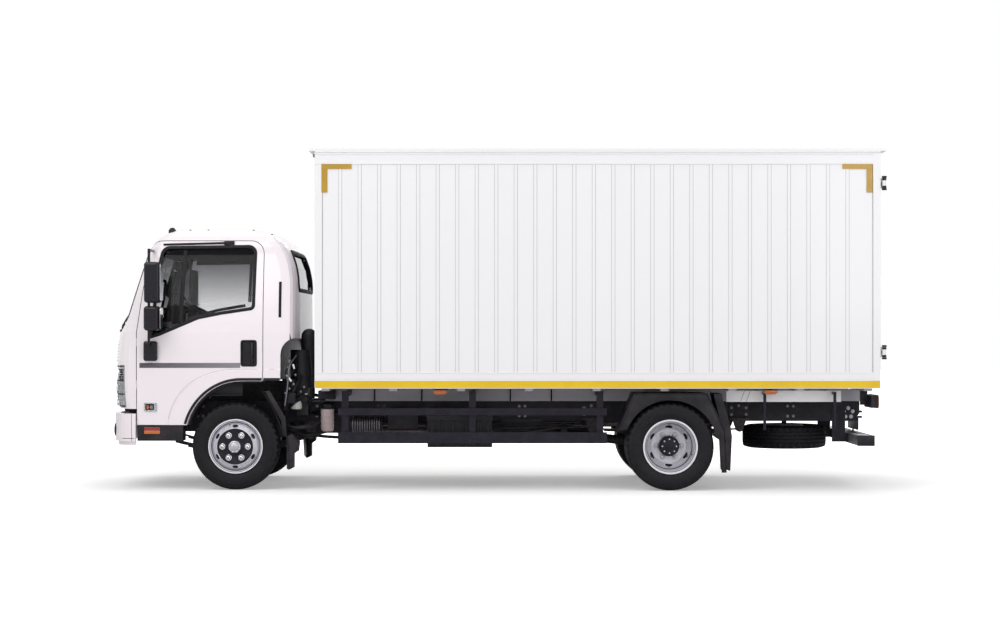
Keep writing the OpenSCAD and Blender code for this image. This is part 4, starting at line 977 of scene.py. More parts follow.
def front_trim(side, face, s):
    trim = Piece(f"front_wheel_{side}_trim", f"front_wheel_{side}", CHROME, FRAME_BLACK, ALLOY,
                 RIM_HIGHLIGHT, slot="rim_silver")
    # Black centre disc with a rolled edge, over the silver rim
    trim.put(lathe([(52, 0.2), (157, 0.2), (158, 2), (156, 5), (152, 6), (146, 2.6), (60, 2.6), (52, 5)],
                   face, "y", 72, s), 1)
    for shape, kind in hand_holes(face, FRONT_DISH, 180, (13, 27), s):
        trim.put(shape, kind)
    # Painted shade and painted highlight: dark and bright rings round the rim
    for inner, outer, kind in ((159, 163, 3), (212, 216, 1), (216.5, 224, 3), (224.5, 228, 1)):
        trim.put(lathe(dish_ring(FRONT_DISH, inner, outer, 1.2), face, "y", 96, s), kind)
    for k in range(STUDS):
        stud = polar(face, STUD_R, 360 / STUDS * k, 3, s)
        for shape in hexagon_nut(stud, 22, 30, s):
            trim.put(shape)
        trim.put(lathe([(CORE, 37), (7, 37), (7, 39.5), (CORE, 39.5)], stud, "y", 12, s), 1)
    # Hub cap and its small bolts
    trim.put(lathe([(CORE, 30), (53, 30), (54, 36), (50, 44), (44, 47), (40, 46), (36, 52), (20, 57),
                    (CORE, 58)], face, "y", 48, s), 2)
    for k in range(8):
        trim.put(lathe([(CORE, 0), (5, 0), (5, 4), (CORE, 5)], polar(face, 47, 45 * k + 20, 44, s),
                       "y", 8, s))
    # Bright bead on the outer flange of the rim, as painted highlight, and the valve
    trim.put(lathe([(229, -30), (239, -30), (239, -26), (235, -24), (229, -26)], face, "y", 96, s), 3)
    trim.put(lathe([(CORE, 0), (5, 0), (5, 26), (3, 34), (CORE, 34)], polar(face, 196, 75, -22, s),
                   "y", 10, s), 1)
    trim.build(smooth=35)


def rear_trim(side, disc, face, s):
    trim = Piece(f"rear_wheels_{side}_trim", f"rear_wheels_{side}", ALLOY, FRAME_BLACK, CHROME,
                 RIM_HIGHLIGHT, slot="rim_silver")
    for k in range(STUDS):
        for shape in hexagon_nut(polar(disc, STUD_R, 360 / STUDS * k, 13, s), 19, 26, s):
            trim.put(shape)
    for shape, kind in hand_holes(disc, REAR_DISH, 168.5, (13.5, 34), s):
        trim.put(shape, kind)
    # Painted shade and painted highlight: dark and bright rings round the rim
    for inner, outer, kind in ((197, 203, 1), (208, 217, 3), (218, 221, 1), (222, 227, 3)):
        trim.put(lathe(dish_ring(REAR_DISH, inner, outer, 1.2), disc, "y", 96, s), kind)
    # Dark hub with its ring of small bolts
    trim.put(lathe([(CORE, 78), (60, 92.5), (72, 92.5), (84, 76), (84, 20), (88, 14), (88, 12.5),
                    (92, 12.5), (92, 16), (88, 80), (74, 96), (56, 98), (30, 104), (CORE, 104)],
                   disc, "y", 48, s), 1)
    for k in range(8):
        trim.put(lathe([(CORE, 0), (7, 0), (7, 6), (CORE, 8)], polar(disc, 62, 45 * k, 96, s), "y", 6, s))
    # Bright bead on the outer flange, as painted highlight, and the valve
    trim.put(lathe([(229, 209), (239, 209), (239, 213), (235, 215), (229, 213)], disc, "y", 96, s), 3)
    trim.put(lathe([(CORE, 0), (5, 0), (5, 60), (3, 68), (CORE, 68)], polar(face, 200, 200, 6, s),
                   "y", 10, s), 1)
    trim.build(smooth=35)


def wheel_trims():
    reach = (TWIN_W - TYRE_W) / 2           # the disc stands this far from the tyre's middle
    for side, s in SIDES.items():
        x, y, z = middle(f"front_tyre_{side}")
        front_trim(side, (x, y + s * reach, z), s)
        x, y, z = middle(f"rear_tyres_{side}")
        rear_trim(side, (x, y, z), (x, y + s * reach, z), s)


tyres()
wheel_trims()


# ---------- cab: windows, doors and outside fittings ----------

def cab_at(points):
    """Heights above the door's lower edge become heights above the ground."""
    return [(x, SILL + h) for x, h in points]


def side_window():
    """Anticlockwise outline of the door window."""
    line = [(728, 771), (659, 1439)] + arc(580, 1486, 68, 20, 90) + arc(-112, 1508, 56, 90, 175)
    line += [(-158, 1040)] + arc(-130, 1050, 28, 190, 270, 4) + [(120, 985), (323, 944)]
    return cab_at(divided(line, 70))


SEAL_SECTION = [(-24, -7), (-24, 2), (-20, 4.5), (-12, 5.5), (0, 4.5), (5, 2), (6, -3)]
WINDOW_EDGE = 14                            # the ray meets the skin this far outside the opening


def rubber(skin, outline, view, section=SEAL_SECTION):
    return bead(skin, grown(outline, WINDOW_EDGE), view, section)


def arch_curve(a, b, power, x_low, x_high, steps=44):
    """Wheel arch line: a rounded front half, level to the rear from its crown."""
    line = []
    for i in range(steps + 1):
        t = math.radians(90 * i / steps)
        line.append((-60 + a * math.cos(t) ** (2 / power), -144.5 + b * math.sin(t) ** (2 / power)))
    line += [(x, b - 144.5) for x in (-100, -160, -200, -239, -256, -300, -350, -398)]
    return cab_at([(x, h) for x, h in line if x_low <= x <= x_high and h > 4])


def arch_edges(side, body, skin, reach):
    """Raised edge of the white flare with a painted shade line beside it, and the black lip of the wheel arch.
    """
    flare = Piece(f"wheel_flare_{body}_{side}", body, CAB_WHITE, BEARER_GREY, BLACK_PLASTIC)
    outer = arch_curve(650, 623, 2.4, *reach)
    lip = arch_curve(515, 545, 2.0, *reach)
    if len(outer) > 2:
        section = [(-9, -1), (-9, 1.5), (-3, 4.5), (3, 4.5), (8, 1), (8, -1)]
        flare.put(bead(skin, outer, side, section, closed=False))
        # Painted shade: a thin grey line along the flare's outer edge
        flare.put(bead(skin, grown(outer, 10)[1:-1], side, flat(1.5, -1, 0.8), closed=False), 1)
    if len(lip) > 2:
        section = [(-12, -2), (-12, 3), (-4, 6), (6, 5), (12, 1), (12, -2)]
        flare.put(bead(skin, lip, side, section, closed=False), 2)
    flare.build()


def door_fittings(side):
    """Rubber, handle, flare, stripe, lamp, rails, mirror glass and inner card of one door."""
    s = SIDES[side]
    body = f"cab_door_{side}"
    skin = skin_of(body)
    glass = skin_of(f"door_glass_{side}")

    seals = Piece(f"door_window_rubber_{side}", body, SEAL, slot="black_plastic")
    seals.put(rubber(skin, side_window(), side))
    # Sash bar of the driver's quarter light, and the black header behind the glass
    if side == "left":
        seals.put(strip(glass, (478, SILL + 908, 446, SILL + 1540), 12, side,
                        [(-17, -1), (-17, 8), (-12, 11), (12, 11), (17, 8), (17, -1)]))
    behind = (-9, -7.2)                     # heights of the strips on the inner face of the glass
    seals.put(strip(glass, (-128, SILL + 1515, 600, SILL + 1505), 14, side, flat(40, *behind, 44)))
    seals.put(strip(glass, (-128, SILL + 1080, -138, SILL + 1500), 8, side, flat(14, *behind, 16)))
    ledge = along(-90, SILL + 1048, 130, SILL + 1010, 6) + along(160, SILL + 1004, 420, SILL + 932, 6)
    seals.put(bead(glass, ledge, side, flat(14, *behind, 12), closed=False))
    seals.build()

    # Pull handle in its recess
    x0, x1, z0, z1 = -188, -60, SILL + 520, SILL + 737
    y = 1000                                # the door's outer face
    grip = Piece(f"door_handle_{side}", body, BLACK_PLASTIC, GLOSS_PLASTIC, slot="black_plastic")
    bezel = round_rect(x0 - 8, z0 - 8, x1 + 8, z1 + 8, 24)
    inner = round_rect(x0 + 4, z0 + 4, x1 - 4, z1 - 4, 16)
    levels = ((bezel, -14), (bezel, 1.5), (grown(bezel, -3), 4), (grown(inner, 2), 4),
              (inner, -2), (grown(inner, -6), -19), (grown(inner, -6), -23))
    grip.put(loft([[at(u, s * (y + depth), v) for u, v in outline] for outline, depth in levels]))
    # The pull is a bowed upright bar, with ribs and a lock beside it
    pull = [(-150, s * (y - 14 + 15 * math.sin(math.pi * t)), z0 + 22 + (z1 - z0 - 44) * t)
            for t in (i / 10 for i in range(11))]
    grip.put(tube(pull, 15, 12), 1)
    for k in range(6):
        z = z0 + 45 + 24 * k
        grip.put(block((-110, s * (y - 17), z), (-76, s * (y - 12), z + 6)))
    lock = at(-84, s * (y - 18), z1 - 26)
    grip.put(lathe([(CORE, 0), (11, 0), (11, 6), (8, 8), (CORE, 8)], lock, "y", 20, s), 1)
    grip.build()

    arch_edges(side, body, skin, (DOOR_X[0] + 6, DOOR_X[1] - 8))

    stripe = Piece(f"door_stripe_{side}", body, STRIPE)
    stripe.put(strip(skin, (834, SILL + 522, -50, SILL + 522), 40, side, flat(22, -0.5, 0.7)))
    stripe.build()

    repeater = Piece(f"side_repeater_{side}", body, CLEAR_LENS, AMBER_LENS, CHROME, GLOSS_PLASTIC,
                     slot="lamp_clear")
    outline = round_rect(680, SILL + 117, 793, SILL + 197, 14)
    repeater.put(patch(skin, grown(outline, 5), side, -2, 2.5), 2)
    repeater.put(patch(skin, outline, side, 2, 9))
    for x0, z0, x1, z1, r, low, kind in ((704, 132, 782, 186, 8, 8, 3), (716, 140, 742, 172, 6, 10, 0),
                                         (752, 140, 770, 172, 6, 10, 1)):
        repeater.put(patch(skin, round_rect(x0, SILL + z0, x1, SILL + z1, r), side, low, low + 3), kind)
    repeater.build(bevel=2)

    # Rail above the window, thicker at its rear end
    rail = Piece(f"door_top_rail_{side}", body, BLACK_PLASTIC, slot="black_plastic")
    rail.put(strip(skin, (640, SILL + 1584, 30, SILL + 1600), 16, side,
                   [(-9, -2), (-9, 9), (-4, 13), (5, 13), (9, 8), (9, -2)]))
    rail.put(strip(skin, (105, SILL + 1596, 15, SILL + 1600), 6, side,
                   [(-17, -2), (-17, 13), (-10, 18), (11, 18), (17, 12), (17, -2)]))
    rail.build()

    # Mirror glasses face the rear
    heads = Piece(f"mirror_glass_{side}", body, MIRROR, SEAL)
    for low, high in ((SILL + 1085, SILL + 1405), (SILL + 842, SILL + 1024)):
        face = round_rect(s * 1150 - 78, low, s * 1150 + 78, high, 24)
        heads.put(front_prism(grown(face, 5), 624, 617), 1)
        heads.put(front_prism(face, 618, 614))
    for z in (SILL + 1120, SILL + 1370, SILL + 870, SILL + 1000):
        collar = [(14, -14), (24, -14), (24, 14), (14, 14)]
        heads.put(lathe(collar, at(735, s * 1090, z), "z", 20), 1)
    heads.build()

    # Inner door card with an armrest, a window winder and a pocket
    card = Piece(f"door_card_{side}", body, DARK_TRIM, CAB_PLASTIC, slot="black_plastic")
    inside = 943                            # the door's inner face
    for x0, x1, z0, z1, near, far, kind in ((-180, 560, 690, 724, 52, 0, 0), (-60, 420, 380, 400, 52, 0, 1),
                                            (-60, 420, 260, 385, 46, 40, 1), (-60, 420, 255, 263, 46, 0, 1)):
        card.put(block((x0, s * (inside - near), SILL + z0), (x1, s * (inside - far), SILL + z1)), kind)
    crank = at(330, s * (inside - 12), SILL + 560)
    card.put(lathe([(CORE, -14), (26, -14), (26, 12), (CORE, 12)], crank, "y", 24, s))
    card.put(tube([(330, s * (inside - 26), SILL + 560), (250, s * (inside - 34), SILL + 540)], 8))
    card.build(bevel=4)


def screen_outline(half, half_top, low, high, radius):
    """Rounded window in (y, z), anticlockwise seen along +X."""
    corners = ((half - radius, low + radius, -90), (half_top - radius, high - radius, 0),
               (-half_top + radius, high - radius, 90), (-half + radius, low + radius, 180))
    line = [p for y, z, start in corners for p in arc(y, z, radius, start, start + 90, 5)]
    return divided(line, 60)


def cab_windows():
    shell = skin_of("cab_shell", "cab_front_panel")
    seals = Piece("cab_window_rubber", "cab", SEAL, slot="black_plastic")
    screen = screen_outline(795, 740, SILL + 921, SILL + 1534, 60)
    back = screen_outline(650, 630, SILL + 1194, SILL + 1526, 50)
    seals.put(rubber(shell, screen, "front"))
    seals.put(rubber(shell, back, "back",
                     [(-26, -7), (-26, 6), (-18, 12), (-4, 13), (8, 8), (10, -3)]))
    seals.build()


def front_fittings():
    shell = skin_of("cab_shell", "cab_front_panel")
    panel = Piece("front_cowl_and_grille", "cab", BLACK_PLASTIC, CHROME, slot="black_plastic")
    slat = lambda half, z, steps, section: strip(shell, (-half, z, half, z), steps, "front", section)
    # Black cowl below the windscreen
    for k in range(3):
        panel.put(slat(760, SILL + 826 + 26 * k, 40,
                       [(-12, -2), (-12, 9), (-6, 13), (9, 13), (12, 8), (12, -2)]))
    # Grille: a dark field with slats, and a bright strip over it
    low, high = SILL + 560, SILL + 700
    for k in range(6):
        panel.put(slat(560, low + (high - low) * k / 5, 30,
                       [(-9, -2), (-9, 6), (-2, 14), (4, 14), (9, 5), (9, -2)]))
    panel.put(slat(570, (low + high) / 2, 30, flat(84, -2, 2.5)))
    panel.put(slat(600, high + 24, 30, [(-10, -2), (-10, 6), (0, 10), (10, 6), (10, -2)]), 1)
    # Air slots low in the panel
    for k in range(3):
        panel.put(slat(420, SILL + 300 + 46 * k, 20, flat(12, -2, 2.5)))
    panel.build()

    wipers = Piece("windscreen_wipers", "cab", BLACK_PLASTIC, SEAL, slot="black_plastic")
    glass = skin_of("cab_glass")
    for pivot, tip in ((-120, 540), (560, -30)):
        base = hit(shell, pivot, SILL + 868, "front")
        ends = [hit(glass, pivot + (tip - pivot) * t, SILL + 948, "front") for t in (0.12, 0.4, 0.7, 1.0)]
        if base is None or None in ends:
            continue
        foot, *place = [local(p) for p, _ in [base] + ends]
        lifts = ((22, 0, 0), (34, 0, 4), (30, 0, 22), (28, 0, 24))
        arm = [p + Vector(lift) for p, lift in zip([foot] + place, lifts)]
        wipers.put(tube(smooth_path(arm), 7, 8))
        blade = [p + Vector((14, 0, 22)) for p in place]
        wipers.put(tube(smooth_path(blade), 6, 8), 1)
        wipers.put(lathe([(CORE, -4), (20, -4), (20, 18), (12, 26), (CORE, 26)], base[0], "x", 20))
    wipers.build()

    roof = Piece("roof_marker_lamps", "cab", BLACK_PLASTIC, GLOSS_PLASTIC, slot="black_plastic")
    top = skin_of("cab_shell")
    for y in (-620, 0, 620):
        for r, t, kind in ((34, 30, 0), (26, 42, 1)):
            profile = [(CORE, -22), (r, -22), (r, t * 0.5), (r * 0.8, t * 0.85), (CORE, t)]
            roof.knob(top, 603, y, "top", profile, "z", 24, kind)
    for x in (420, 260, -140, -300):
        for y in (-760, 760):
            roof.knob(top, x, y, "top", [(CORE, -4), (9, -4), (9, 4), (6, 6), (CORE, 6)], "z", 12)
    roof.build()

    vents = Piece("rear_pillar_vents", "cab", SEAL, slot="black_plastic")
    for side in SIDES:
        arch_edges(side, "cab", top, (-398, DOOR_X[0] - 8))
    for side in SIDES:
        vents.put(strip(top, (-396, SILL + 943, -396, SILL + 1256), 12, side,
                        [(-12, -2), (-12, 2.4), (-6, 3.6), (6, 3.6), (12, 2.4), (12, -2)]))
        for k in range(9):
            z = SILL + 965 + 33 * k
            vents.put(strip(top, (-407, z, -385, z), 2, side, flat(3, 2, 5)))
    vents.build()


def headlamp_fittings():
    """Seams, bowls and dark slats over the lamp blocks."""
    lamps = Piece("headlamp_trims", "cab", CHROME, GLOSS_PLASTIC, SEAL, slot="lamp_clear")
    skin = skin_of("headlamps")
    low, high = (corner[2] for corner in box_of("headlamps"))
    outer, inner = 930, 645
    for s in SIDES.values():
        for z in (low + 12, low + 118, low + 236, high - 12):
            lamps.put(strip(skin, (s * inner, z, s * outer, z), 16, "front",
                            [(-6, -2), (-6, 2), (0, 4), (6, 2), (6, -2)]), 2)
        for y, z, r in ((760, low + 60, 42), (760, low + 177, 48), (850, low + 300, 40)):
            ring = [(r, -2), (r + 6, -2), (r + 6, 3), (r, 5), (r - 8, 2), (r - 8, -2)]
            lamps.knob(skin, s * y, z, "front", ring, "x", 32)
        for k in range(5):
            z = low + 250 + 20 * k
            lamps.put(strip(skin, (s * 860, z, s * outer, z), 6, "front", flat(7, -2, 2.2)), 1)
    lamps.build()


for side in SIDES:
    door_fittings(side)
cab_windows()
front_fittings()
headlamp_fittings()


def bumper_fittings():
    skin = skin_of("front_bumper")
    low, high = (corner[2] for corner in box_of("front_bumper"))
    trim = Piece("bumper_fittings", "chassis", BLACK_PLASTIC, WHITE_PLATE, CLEAR_LENS, CHROME,
                 slot="black_plastic")
    trim.put(strip(skin, (-480, low + 120, 480, low + 120), 24, "front", flat(44, -2, 1.6)))
    for k in range(3):
        z = low + 90 + 30 * k
        trim.put(strip(skin, (-470, z, 470, z), 24, "front", [(-5, 1), (-5, 4), (0, 7), (5, 4), (5, 1)]))
    x = local(hit(skin, 0, low + 190, "front")[0]).x
    trim.put(front_prism(round_rect(-265, low + 150, 265, low + 262, 8), x - 2, x + 5))
    trim.put(front_prism(round_rect(-260, low + 155, 260, low + 257, 6), x + 4, x + 7), 1)
    for s in (-1, 1):
        place = (skin, s * 700, low + 130, "front")
        trim.knob(*place, [(CORE, -3), (58, -3), (58, 2), (50, 6), (48, 3), (CORE, 3)], "x", 32)
        trim.knob(*place, [(CORE, 2.5), (44, 2.5), (42, 5), (CORE, 8)], "x", 32, 2)
    # Seams at the bumper's ends
    for side in SIDES:
        trim.put(strip(skin, (880, low + 62, 1010, low + 62), 6, side, flat(2.5, -1, 0.6)))
        trim.put(strip(skin, (905, low + 40, 905, high - 4), 8, side, flat(2, -1, 0.5)))
    trim.build()


def step_lamps():
    lamp = Piece("step_side_lamps", "cab", AMBER_LENS, BLACK_PLASTIC, RED_LENS, slot="black_plastic")
    face = box_of("cab_steps")[1][1]
    lamp.both(side_prism(round_rect(648, SILL - 84, 800, SILL - 16, 8), face - 2, face + 3), 1)
    lamp.both(side_prism(round_rect(654, SILL - 78, 794, SILL - 49, 6), face + 2, face + 8))
    lamp.both(side_prism(round_rect(654, SILL - 49, 794, SILL - 21, 6), face + 2, face + 8), 2)
    # Grip bars on the tread
    for k in range(7):
        lamp.both(block((500, 845 + 17 * k, SILL - 129), (830, 851 + 17 * k, SILL - 124)), 1)
    lamp.build(bevel=1.5)


bumper_fittings()
step_lamps()


# ---------- inside the cab ----------

def pad(low, high, crown, channels, lean=0.0, pivot=None, steps=28):
    """Crowned cushion between two corners: rounded box, puffed faces, sewn channels across y."""
    low, high = Vector(low), Vector(high)
    mid, half = (low + high) / 2, (high - low) / 2
    thin = min(range(3), key=lambda i: half[i])
    wide = [i for i in range(3) if i != thin]
    corner = min(half) * 0.85
    bm = bmesh.new()
    bmesh.ops.create_cube(bm, size=2)
    bmesh.ops.subdivide_edges(bm, edges=bm.edges[:], cuts=steps, use_grid_fill=True)
    for v in bm.verts:
        p = Vector([v.co[i] * half[i] for i in range(3)])
        core = Vector([max(-(half[i] - corner), min(half[i] - corner, p[i])) for i in range(3)])
        away = p - core
        if away.length > corner:
            away = away.normalized() * corner
        q = core + away
        u, w = (q[i] / half[i] for i in wide)
        puff = crown * (1 - u ** 4) * (1 - w ** 4)
        pull = sum(math.exp(-((u * half[wide[0]] - c) / 7) ** 2) for c in channels)
        seam = 3.5 * math.exp(-((q[thin] / half[thin]) / 0.10) ** 2)
        q[thin] += math.copysign(puff - crown * 0.9 * min(pull, 1), q[thin])
        edge = Vector((q[wide[0]], q[wide[1]])).normalized() * seam
        q[wide[0]] += edge[0]
        q[wide[1]] += edge[1]
        q += mid
        if pivot:
            x, z = q[0] - pivot[0], q[2] - pivot[1]
            a = math.radians(lean)
            q = Vector((pivot[0] + x * math.cos(a) - z * math.sin(a), q[1],
                        pivot[1] + x * math.sin(a) + z * math.cos(a)))
        v.co = at(*q)
    bm.verts.ensure_lookup_table()
    verts = [v.co.copy() for v in bm.verts]
    faces = [[v.index for v in f.verts] for f in bm.faces]
    bm.free()
    return verts, faces


SEAT_PLACES = ((280, 780), (-200, 240), (-760, -230))   # driver, middle, passenger


def seats():
    x0, x1 = -198, box_of("seats")[1][0]
    deck = SILL + 506
    for number, (ya, yb) in enumerate(SEAT_PLACES, 1):
        cushion = Piece(f"seat_cushion_{number}", "cab", CLOTH, slot="seat_fabric")
        cushion.put(pad((x0, ya, deck + 22), (x1, yb, deck + 144), 9, (-90, 20, 130)))
        cushion.build(["seats"] if number == 1 else (), smooth=60)
        backrest = Piece(f"seat_back_{number}", "cab", CLOTH, slot="seat_fabric")
        backrest.put(pad((x0 - 74, ya + 12, deck + 125), (x0 + 10, yb - 12, deck + 655), 8,
                         (), 6, (x0, deck + 120)))
        backrest.build(smooth=60)
        rest = Piece(f"head_restraint_{number}", "cab", CLOTH, slot="seat_fabric")
        middle_y = (ya + yb) / 2
        rest.put(pad((x0 - 70, middle_y - 120, deck + 690), (x0 - 4, middle_y + 120, deck + 850), 5,
                     (), 6, (x0, deck + 120), 18))
        rest.build(smooth=60)
        frame_piece = Piece(f"seat_frame_{number}", "cab", DARK_TRIM, CHROME, slot="black_plastic")
        frame_piece.put(block((x0 + 60, ya + 60, deck), (x1 - 60, yb - 60, deck + 26)))
        for y in (middle_y - 60, middle_y + 60):
            frame_piece.put(tube([(x0 - 88, y, deck + 620), (x0 - 105, y, deck + 760)], 6, 10), 1)
        frame_piece.build(bevel=4)


def cab_inside():
    (face, _, low), (_, _, high) = box_of("dashboard")
    trim = Piece("dashboard_fittings", "cab", CAB_PLASTIC, DARK_TRIM, CHROME, GLOSS_PLASTIC,
                 slot="black_plastic")
    # Instrument hood with round blank dials in front of the driver
    trim.put(block((face - 40, 290, high - 150), (face + 120, 710, high + 16)), 1)
    for y in (400, 500, 600):
        for x, profile, kind in ((face - 48, [(36, 0), (42, 0), (42, 8), (36, 8)], 2),
                                 (face - 45, [(CORE, 0), (36, 0), (36, 4), (CORE, 4)], 3)):
            trim.put(lathe(profile, at(x, y, high - 70), "x", 32), kind)
    for y in (-780, -260, 120):
        for k in range(4):
            z = high - 110 + 18 * k
            trim.put(block((face - 10, y, z), (face + 2, y + 130, z + 7)), 1)
    trim.put(block((face - 8, -700, low + 30), (face + 4, -300, low + 130)))
    trim.put(block((face - 26, -150, low + 10), (face + 4, 150, high - 130)), 1)
    for y in (-90, 0, 90):
        button = [(CORE, 0), (20, 0), (18, -22), (CORE, -24)]
        trim.put(lathe(button, at(face - 26, y, high - 170), "x", 20), 3)
    # Gear lever with its knob and boot, and the pedals
    lever = [(420, 140, SILL + 240), (410, 140, SILL + 520), (390, 150, SILL + 800)]
    trim.put(tube(smooth_path(lever), 9, 10), 2)
    trim.put(lathe([(CORE, 0), (20, 2), (26, 20), (22, 40), (CORE, 50)],
                   at(390, 150, SILL + 796), "z", 20), 3)
    trim.put(lathe([(CORE, 0), (70, 0), (46, 40), (14, 90), (CORE, 90)],
                   at(420, 140, SILL + 244), "z", 28), 1)
    for y in (380, 520, 620):
        trim.put(block((700, y - 30, SILL + 300), (716, y + 30, SILL + 390)), 1)
        trim.put(tube([(712, y, SILL + 380), (800, y, SILL + 560)], 7, 8), 2)
    # Sun visors under the header
    for y in (-600, 200):
        trim.put(block((560, y, SILL + 1490), (740, y + 420, SILL + 1508)))
    # Header panels above the door openings, and the grips on the front pillars
    trim.both(block((-300, 770, SILL + 1484), (470, 806, SILL + 1580)), 1)
    grip = [(700, 800, SILL + 1010), (672, 770, SILL + 1030), (640, 770, SILL + 1240), (655, 800, SILL + 1270)]
    trim.both(tube(smooth_path(grip), 13, 12), 3)
    trim.build(bevel=3)

    stalks = Piece("column_stalks", "cab", DARK_TRIM, slot="black_plastic")
    hub = Vector(middle("steering_wheel"))
    x, y, z = local(hub)
    for reach in (190, -190):
        stalks.put(tube([(x + 66, y, z - 120), (x + 62, y + reach, z - 84)], 8, 10))
    stalks.build()

    boss = Piece("steering_wheel_boss", "steering_wheel", DARK_TRIM, CHROME, slot="black_plastic")
    tilt = math.radians(28)
    axis = Vector((-math.sin(tilt), 0, math.cos(tilt)))
    rings = []
    for r, t in ((64, -42), (68, -20), (64, 4), (50, 14), (20, 18)):
        ring = []
        for k in range(32):
            a = 2 * math.pi * k / 32
            spoke = Vector((math.cos(a) * math.cos(tilt), math.sin(a), math.cos(a) * math.sin(tilt)))
            ring.append(hub + (spoke * r + axis * t) / 1000)
        rings.append(ring)
    boss.put(loft(rings))
    boss.build()


seats()
cab_inside()


# ---------- box ----------

HINGE_Z = (BOX_Z[0] + 317, BOX_Z[1] - 279)
ROD_Y = (170, 640)                          # lock rods of one rear door, from the middle outwards


def box_rails():
    """Tapes, pressed lines, painted shade beside the ribs, hinge caps and rivets of the box body."""
    x0, x1 = BOX_X
    z0, z1 = BOX_Z
    y = BOX_Y
    tape = Piece("box_marking_tape", "chassis", YELLOW_TAPE, ORANGE_TAPE)
    tape.both(block((x0 + 4, y - 0.5, z0 + 5), (x1 - 4, y + 1.0, z0 + 68)))
    # Corner marks: an upright and a level arm
    arm, drop, wide = 263, 257, 52
    top = z1 - 103
    front, rear = x1 - 59, x0 + 70
    for inner, way in ((front, -1), (rear, 1)):
        tape.both(block((inner, y - 3, top - wide), (inner + way * arm, y + 1.0, top)), 1)
        tape.both(block((inner, y - 3, top - drop), (inner + way * wide, y + 1.0, top - wide + 0.5)), 1)
    # Rear frame: tape along the sill and up the posts
    tape.put(block((x0 - 1.2, -y + 70, z0 + 6), (x0 + 0.5, y - 70, z0 + 52)))
    tape.both(block((x0 - 1.2, y - 58, top - drop), (x0 + 0.5, y - 8, top)), 1)
    tape.both(block((x0 - 1.2, y - 320, top - 2), (x0 + 0.5, y - 60, top + 46)), 1)
    tape.build()

    lines = Piece("box_rail_mouldings", "chassis", BOX_WHITE, FRAME_BLACK, slot="box_paint")
    for z in (z0 + 66, z0 + 84, z0 + 132):
        lines.both(block((x0 + 66, y - 1, z), (x1, y + 4, z + 7)))
    for z in (z1 - 112, z1 - 30):
        lines.both(block((x0 + 66, y - 1, z), (x1, y + 5, z + 8)))
    # Rain gutter under the roof's edge
    lines.both(block((x0 + 2, y - 1, z1 - 12), (x1 - 2, y + 9, z1)))
    lines.put(block((x1 - 1, -y + 60, z1 - 70), (x1 + 5, y - 60, z1 - 50)))
    # Upright swages on the front wall
    for k in range(11):
        across = -900 + 180 * k
        lines.put(block((x1 - 1, across - 14, z0 + 90), (x1 + 4, across + 14, z1 - 100)))
    # Seam between the corner posts and the panels
    for x in (x1 - 66, x0 + 66):
        lines.both(block((x - 1.5, y - 7, z0 + 142), (x + 1.5, y - 0.5, z1 - 116)), 1)
    lines.build(bevel=1.2)

    # Painted shade: thin grey strips along both edges of the upright ribs
    pitch, half = 170, 13
    length = x1 - x0 - FRAME_DEPTH
    ribs = int((length - 130) // pitch)
    first = x1 - (length - (ribs - 1) * pitch) / 2
    rib_shade_strips = Piece("box_rib_painted_shade", "chassis", BEARER_GREY)
    for k in range(ribs):
        for edge in (-half - 3, half):
            x = first - k * pitch + edge
            rib_shade_strips.both(block((x, y - 7, z0 + 141), (x + 3, y - 5, z1 - 116)))
    rib_shade_strips.build()

    knobs = Piece("hinge_caps", "chassis", GLOSS_PLASTIC, slot="black_plastic")
    for z in HINGE_Z:
        pin = at(x0 - 30, y + 10, z)
        for low, high in ((-62, -45), (45, 62)):
            profile = [(CORE, low), (18, low), (22, low + 4), (22, high - 4), (18, high), (CORE, high)]
            knobs.both(lathe(profile, pin, "z", 24))
        for low, high in ((-44, -24.5), (24.5, 44)):
            knobs.both(lathe([(14.5, low), (19, low), (19, high), (14.5, high)], pin, "z", 24))
    knobs.build()

    rivets = []
    spread = lambda start, length, count: [start + length * k / (count - 1) for k in range(count)]
    for s in (-1, 1):
        facing = Vector((0, s, 0))
        for x in spread(x0 + 80, x1 - x0 - 110, 58):
            rivets += [(at(x, s * y, z), facing) for z in (z0 + 112, z1 - 58)]
        for z in spread(z0 + 160, z1 - z0 - 300, 22):
            rivets += [(at(x, s * y, z), facing) for x in (x1 - 34, x0 + 34)]
    for across in spread(-900, 1800, 12):
        rivets += [(at(x1, across, z), Vector((1, 0, 0))) for z in (z0 + 40, z1 - 20)]
    fasteners("box_rivets", "chassis", rivets, 4.5, 2.2, BOX_WHITE, RIVET_TREE)


def side_markers():
    """Amber lamps below the box with their brackets, and the lamps high on its front wall."""
    lamps = Piece("side_marker_lamps", "chassis", AMBER_LENS, BLACK_PLASTIC, slot="black_plastic")
    y = box_of("side_guards")[1][1] - 25
    for x in (-1800, -4695):
        wedge = [(66, 862), (40, 884), (-40, 880), (-66, 862), (-40, 842), (40, 840)]
        lamps.both(side_prism([(x + u, z) for u, z in wedge], y - 12, y + 14))
        lamps.both(block((x - 70, y - 30, 884), (x + 70, y + 4, 892)), 1)
        lamps.both(block((x - 14, y - 26, 840), (x + 14, y - 10, 892)), 1)
    x, z = BOX_X[1], BOX_Z[1]
    lamps.both(block((x - 2, 910, z - 46), (x + 16, 1010, z - 16)), 1)
    lamps.both(block((x + 14, 916, z - 42), (x + 24, 1004, z - 20)))
    lamps.build(bevel=3)


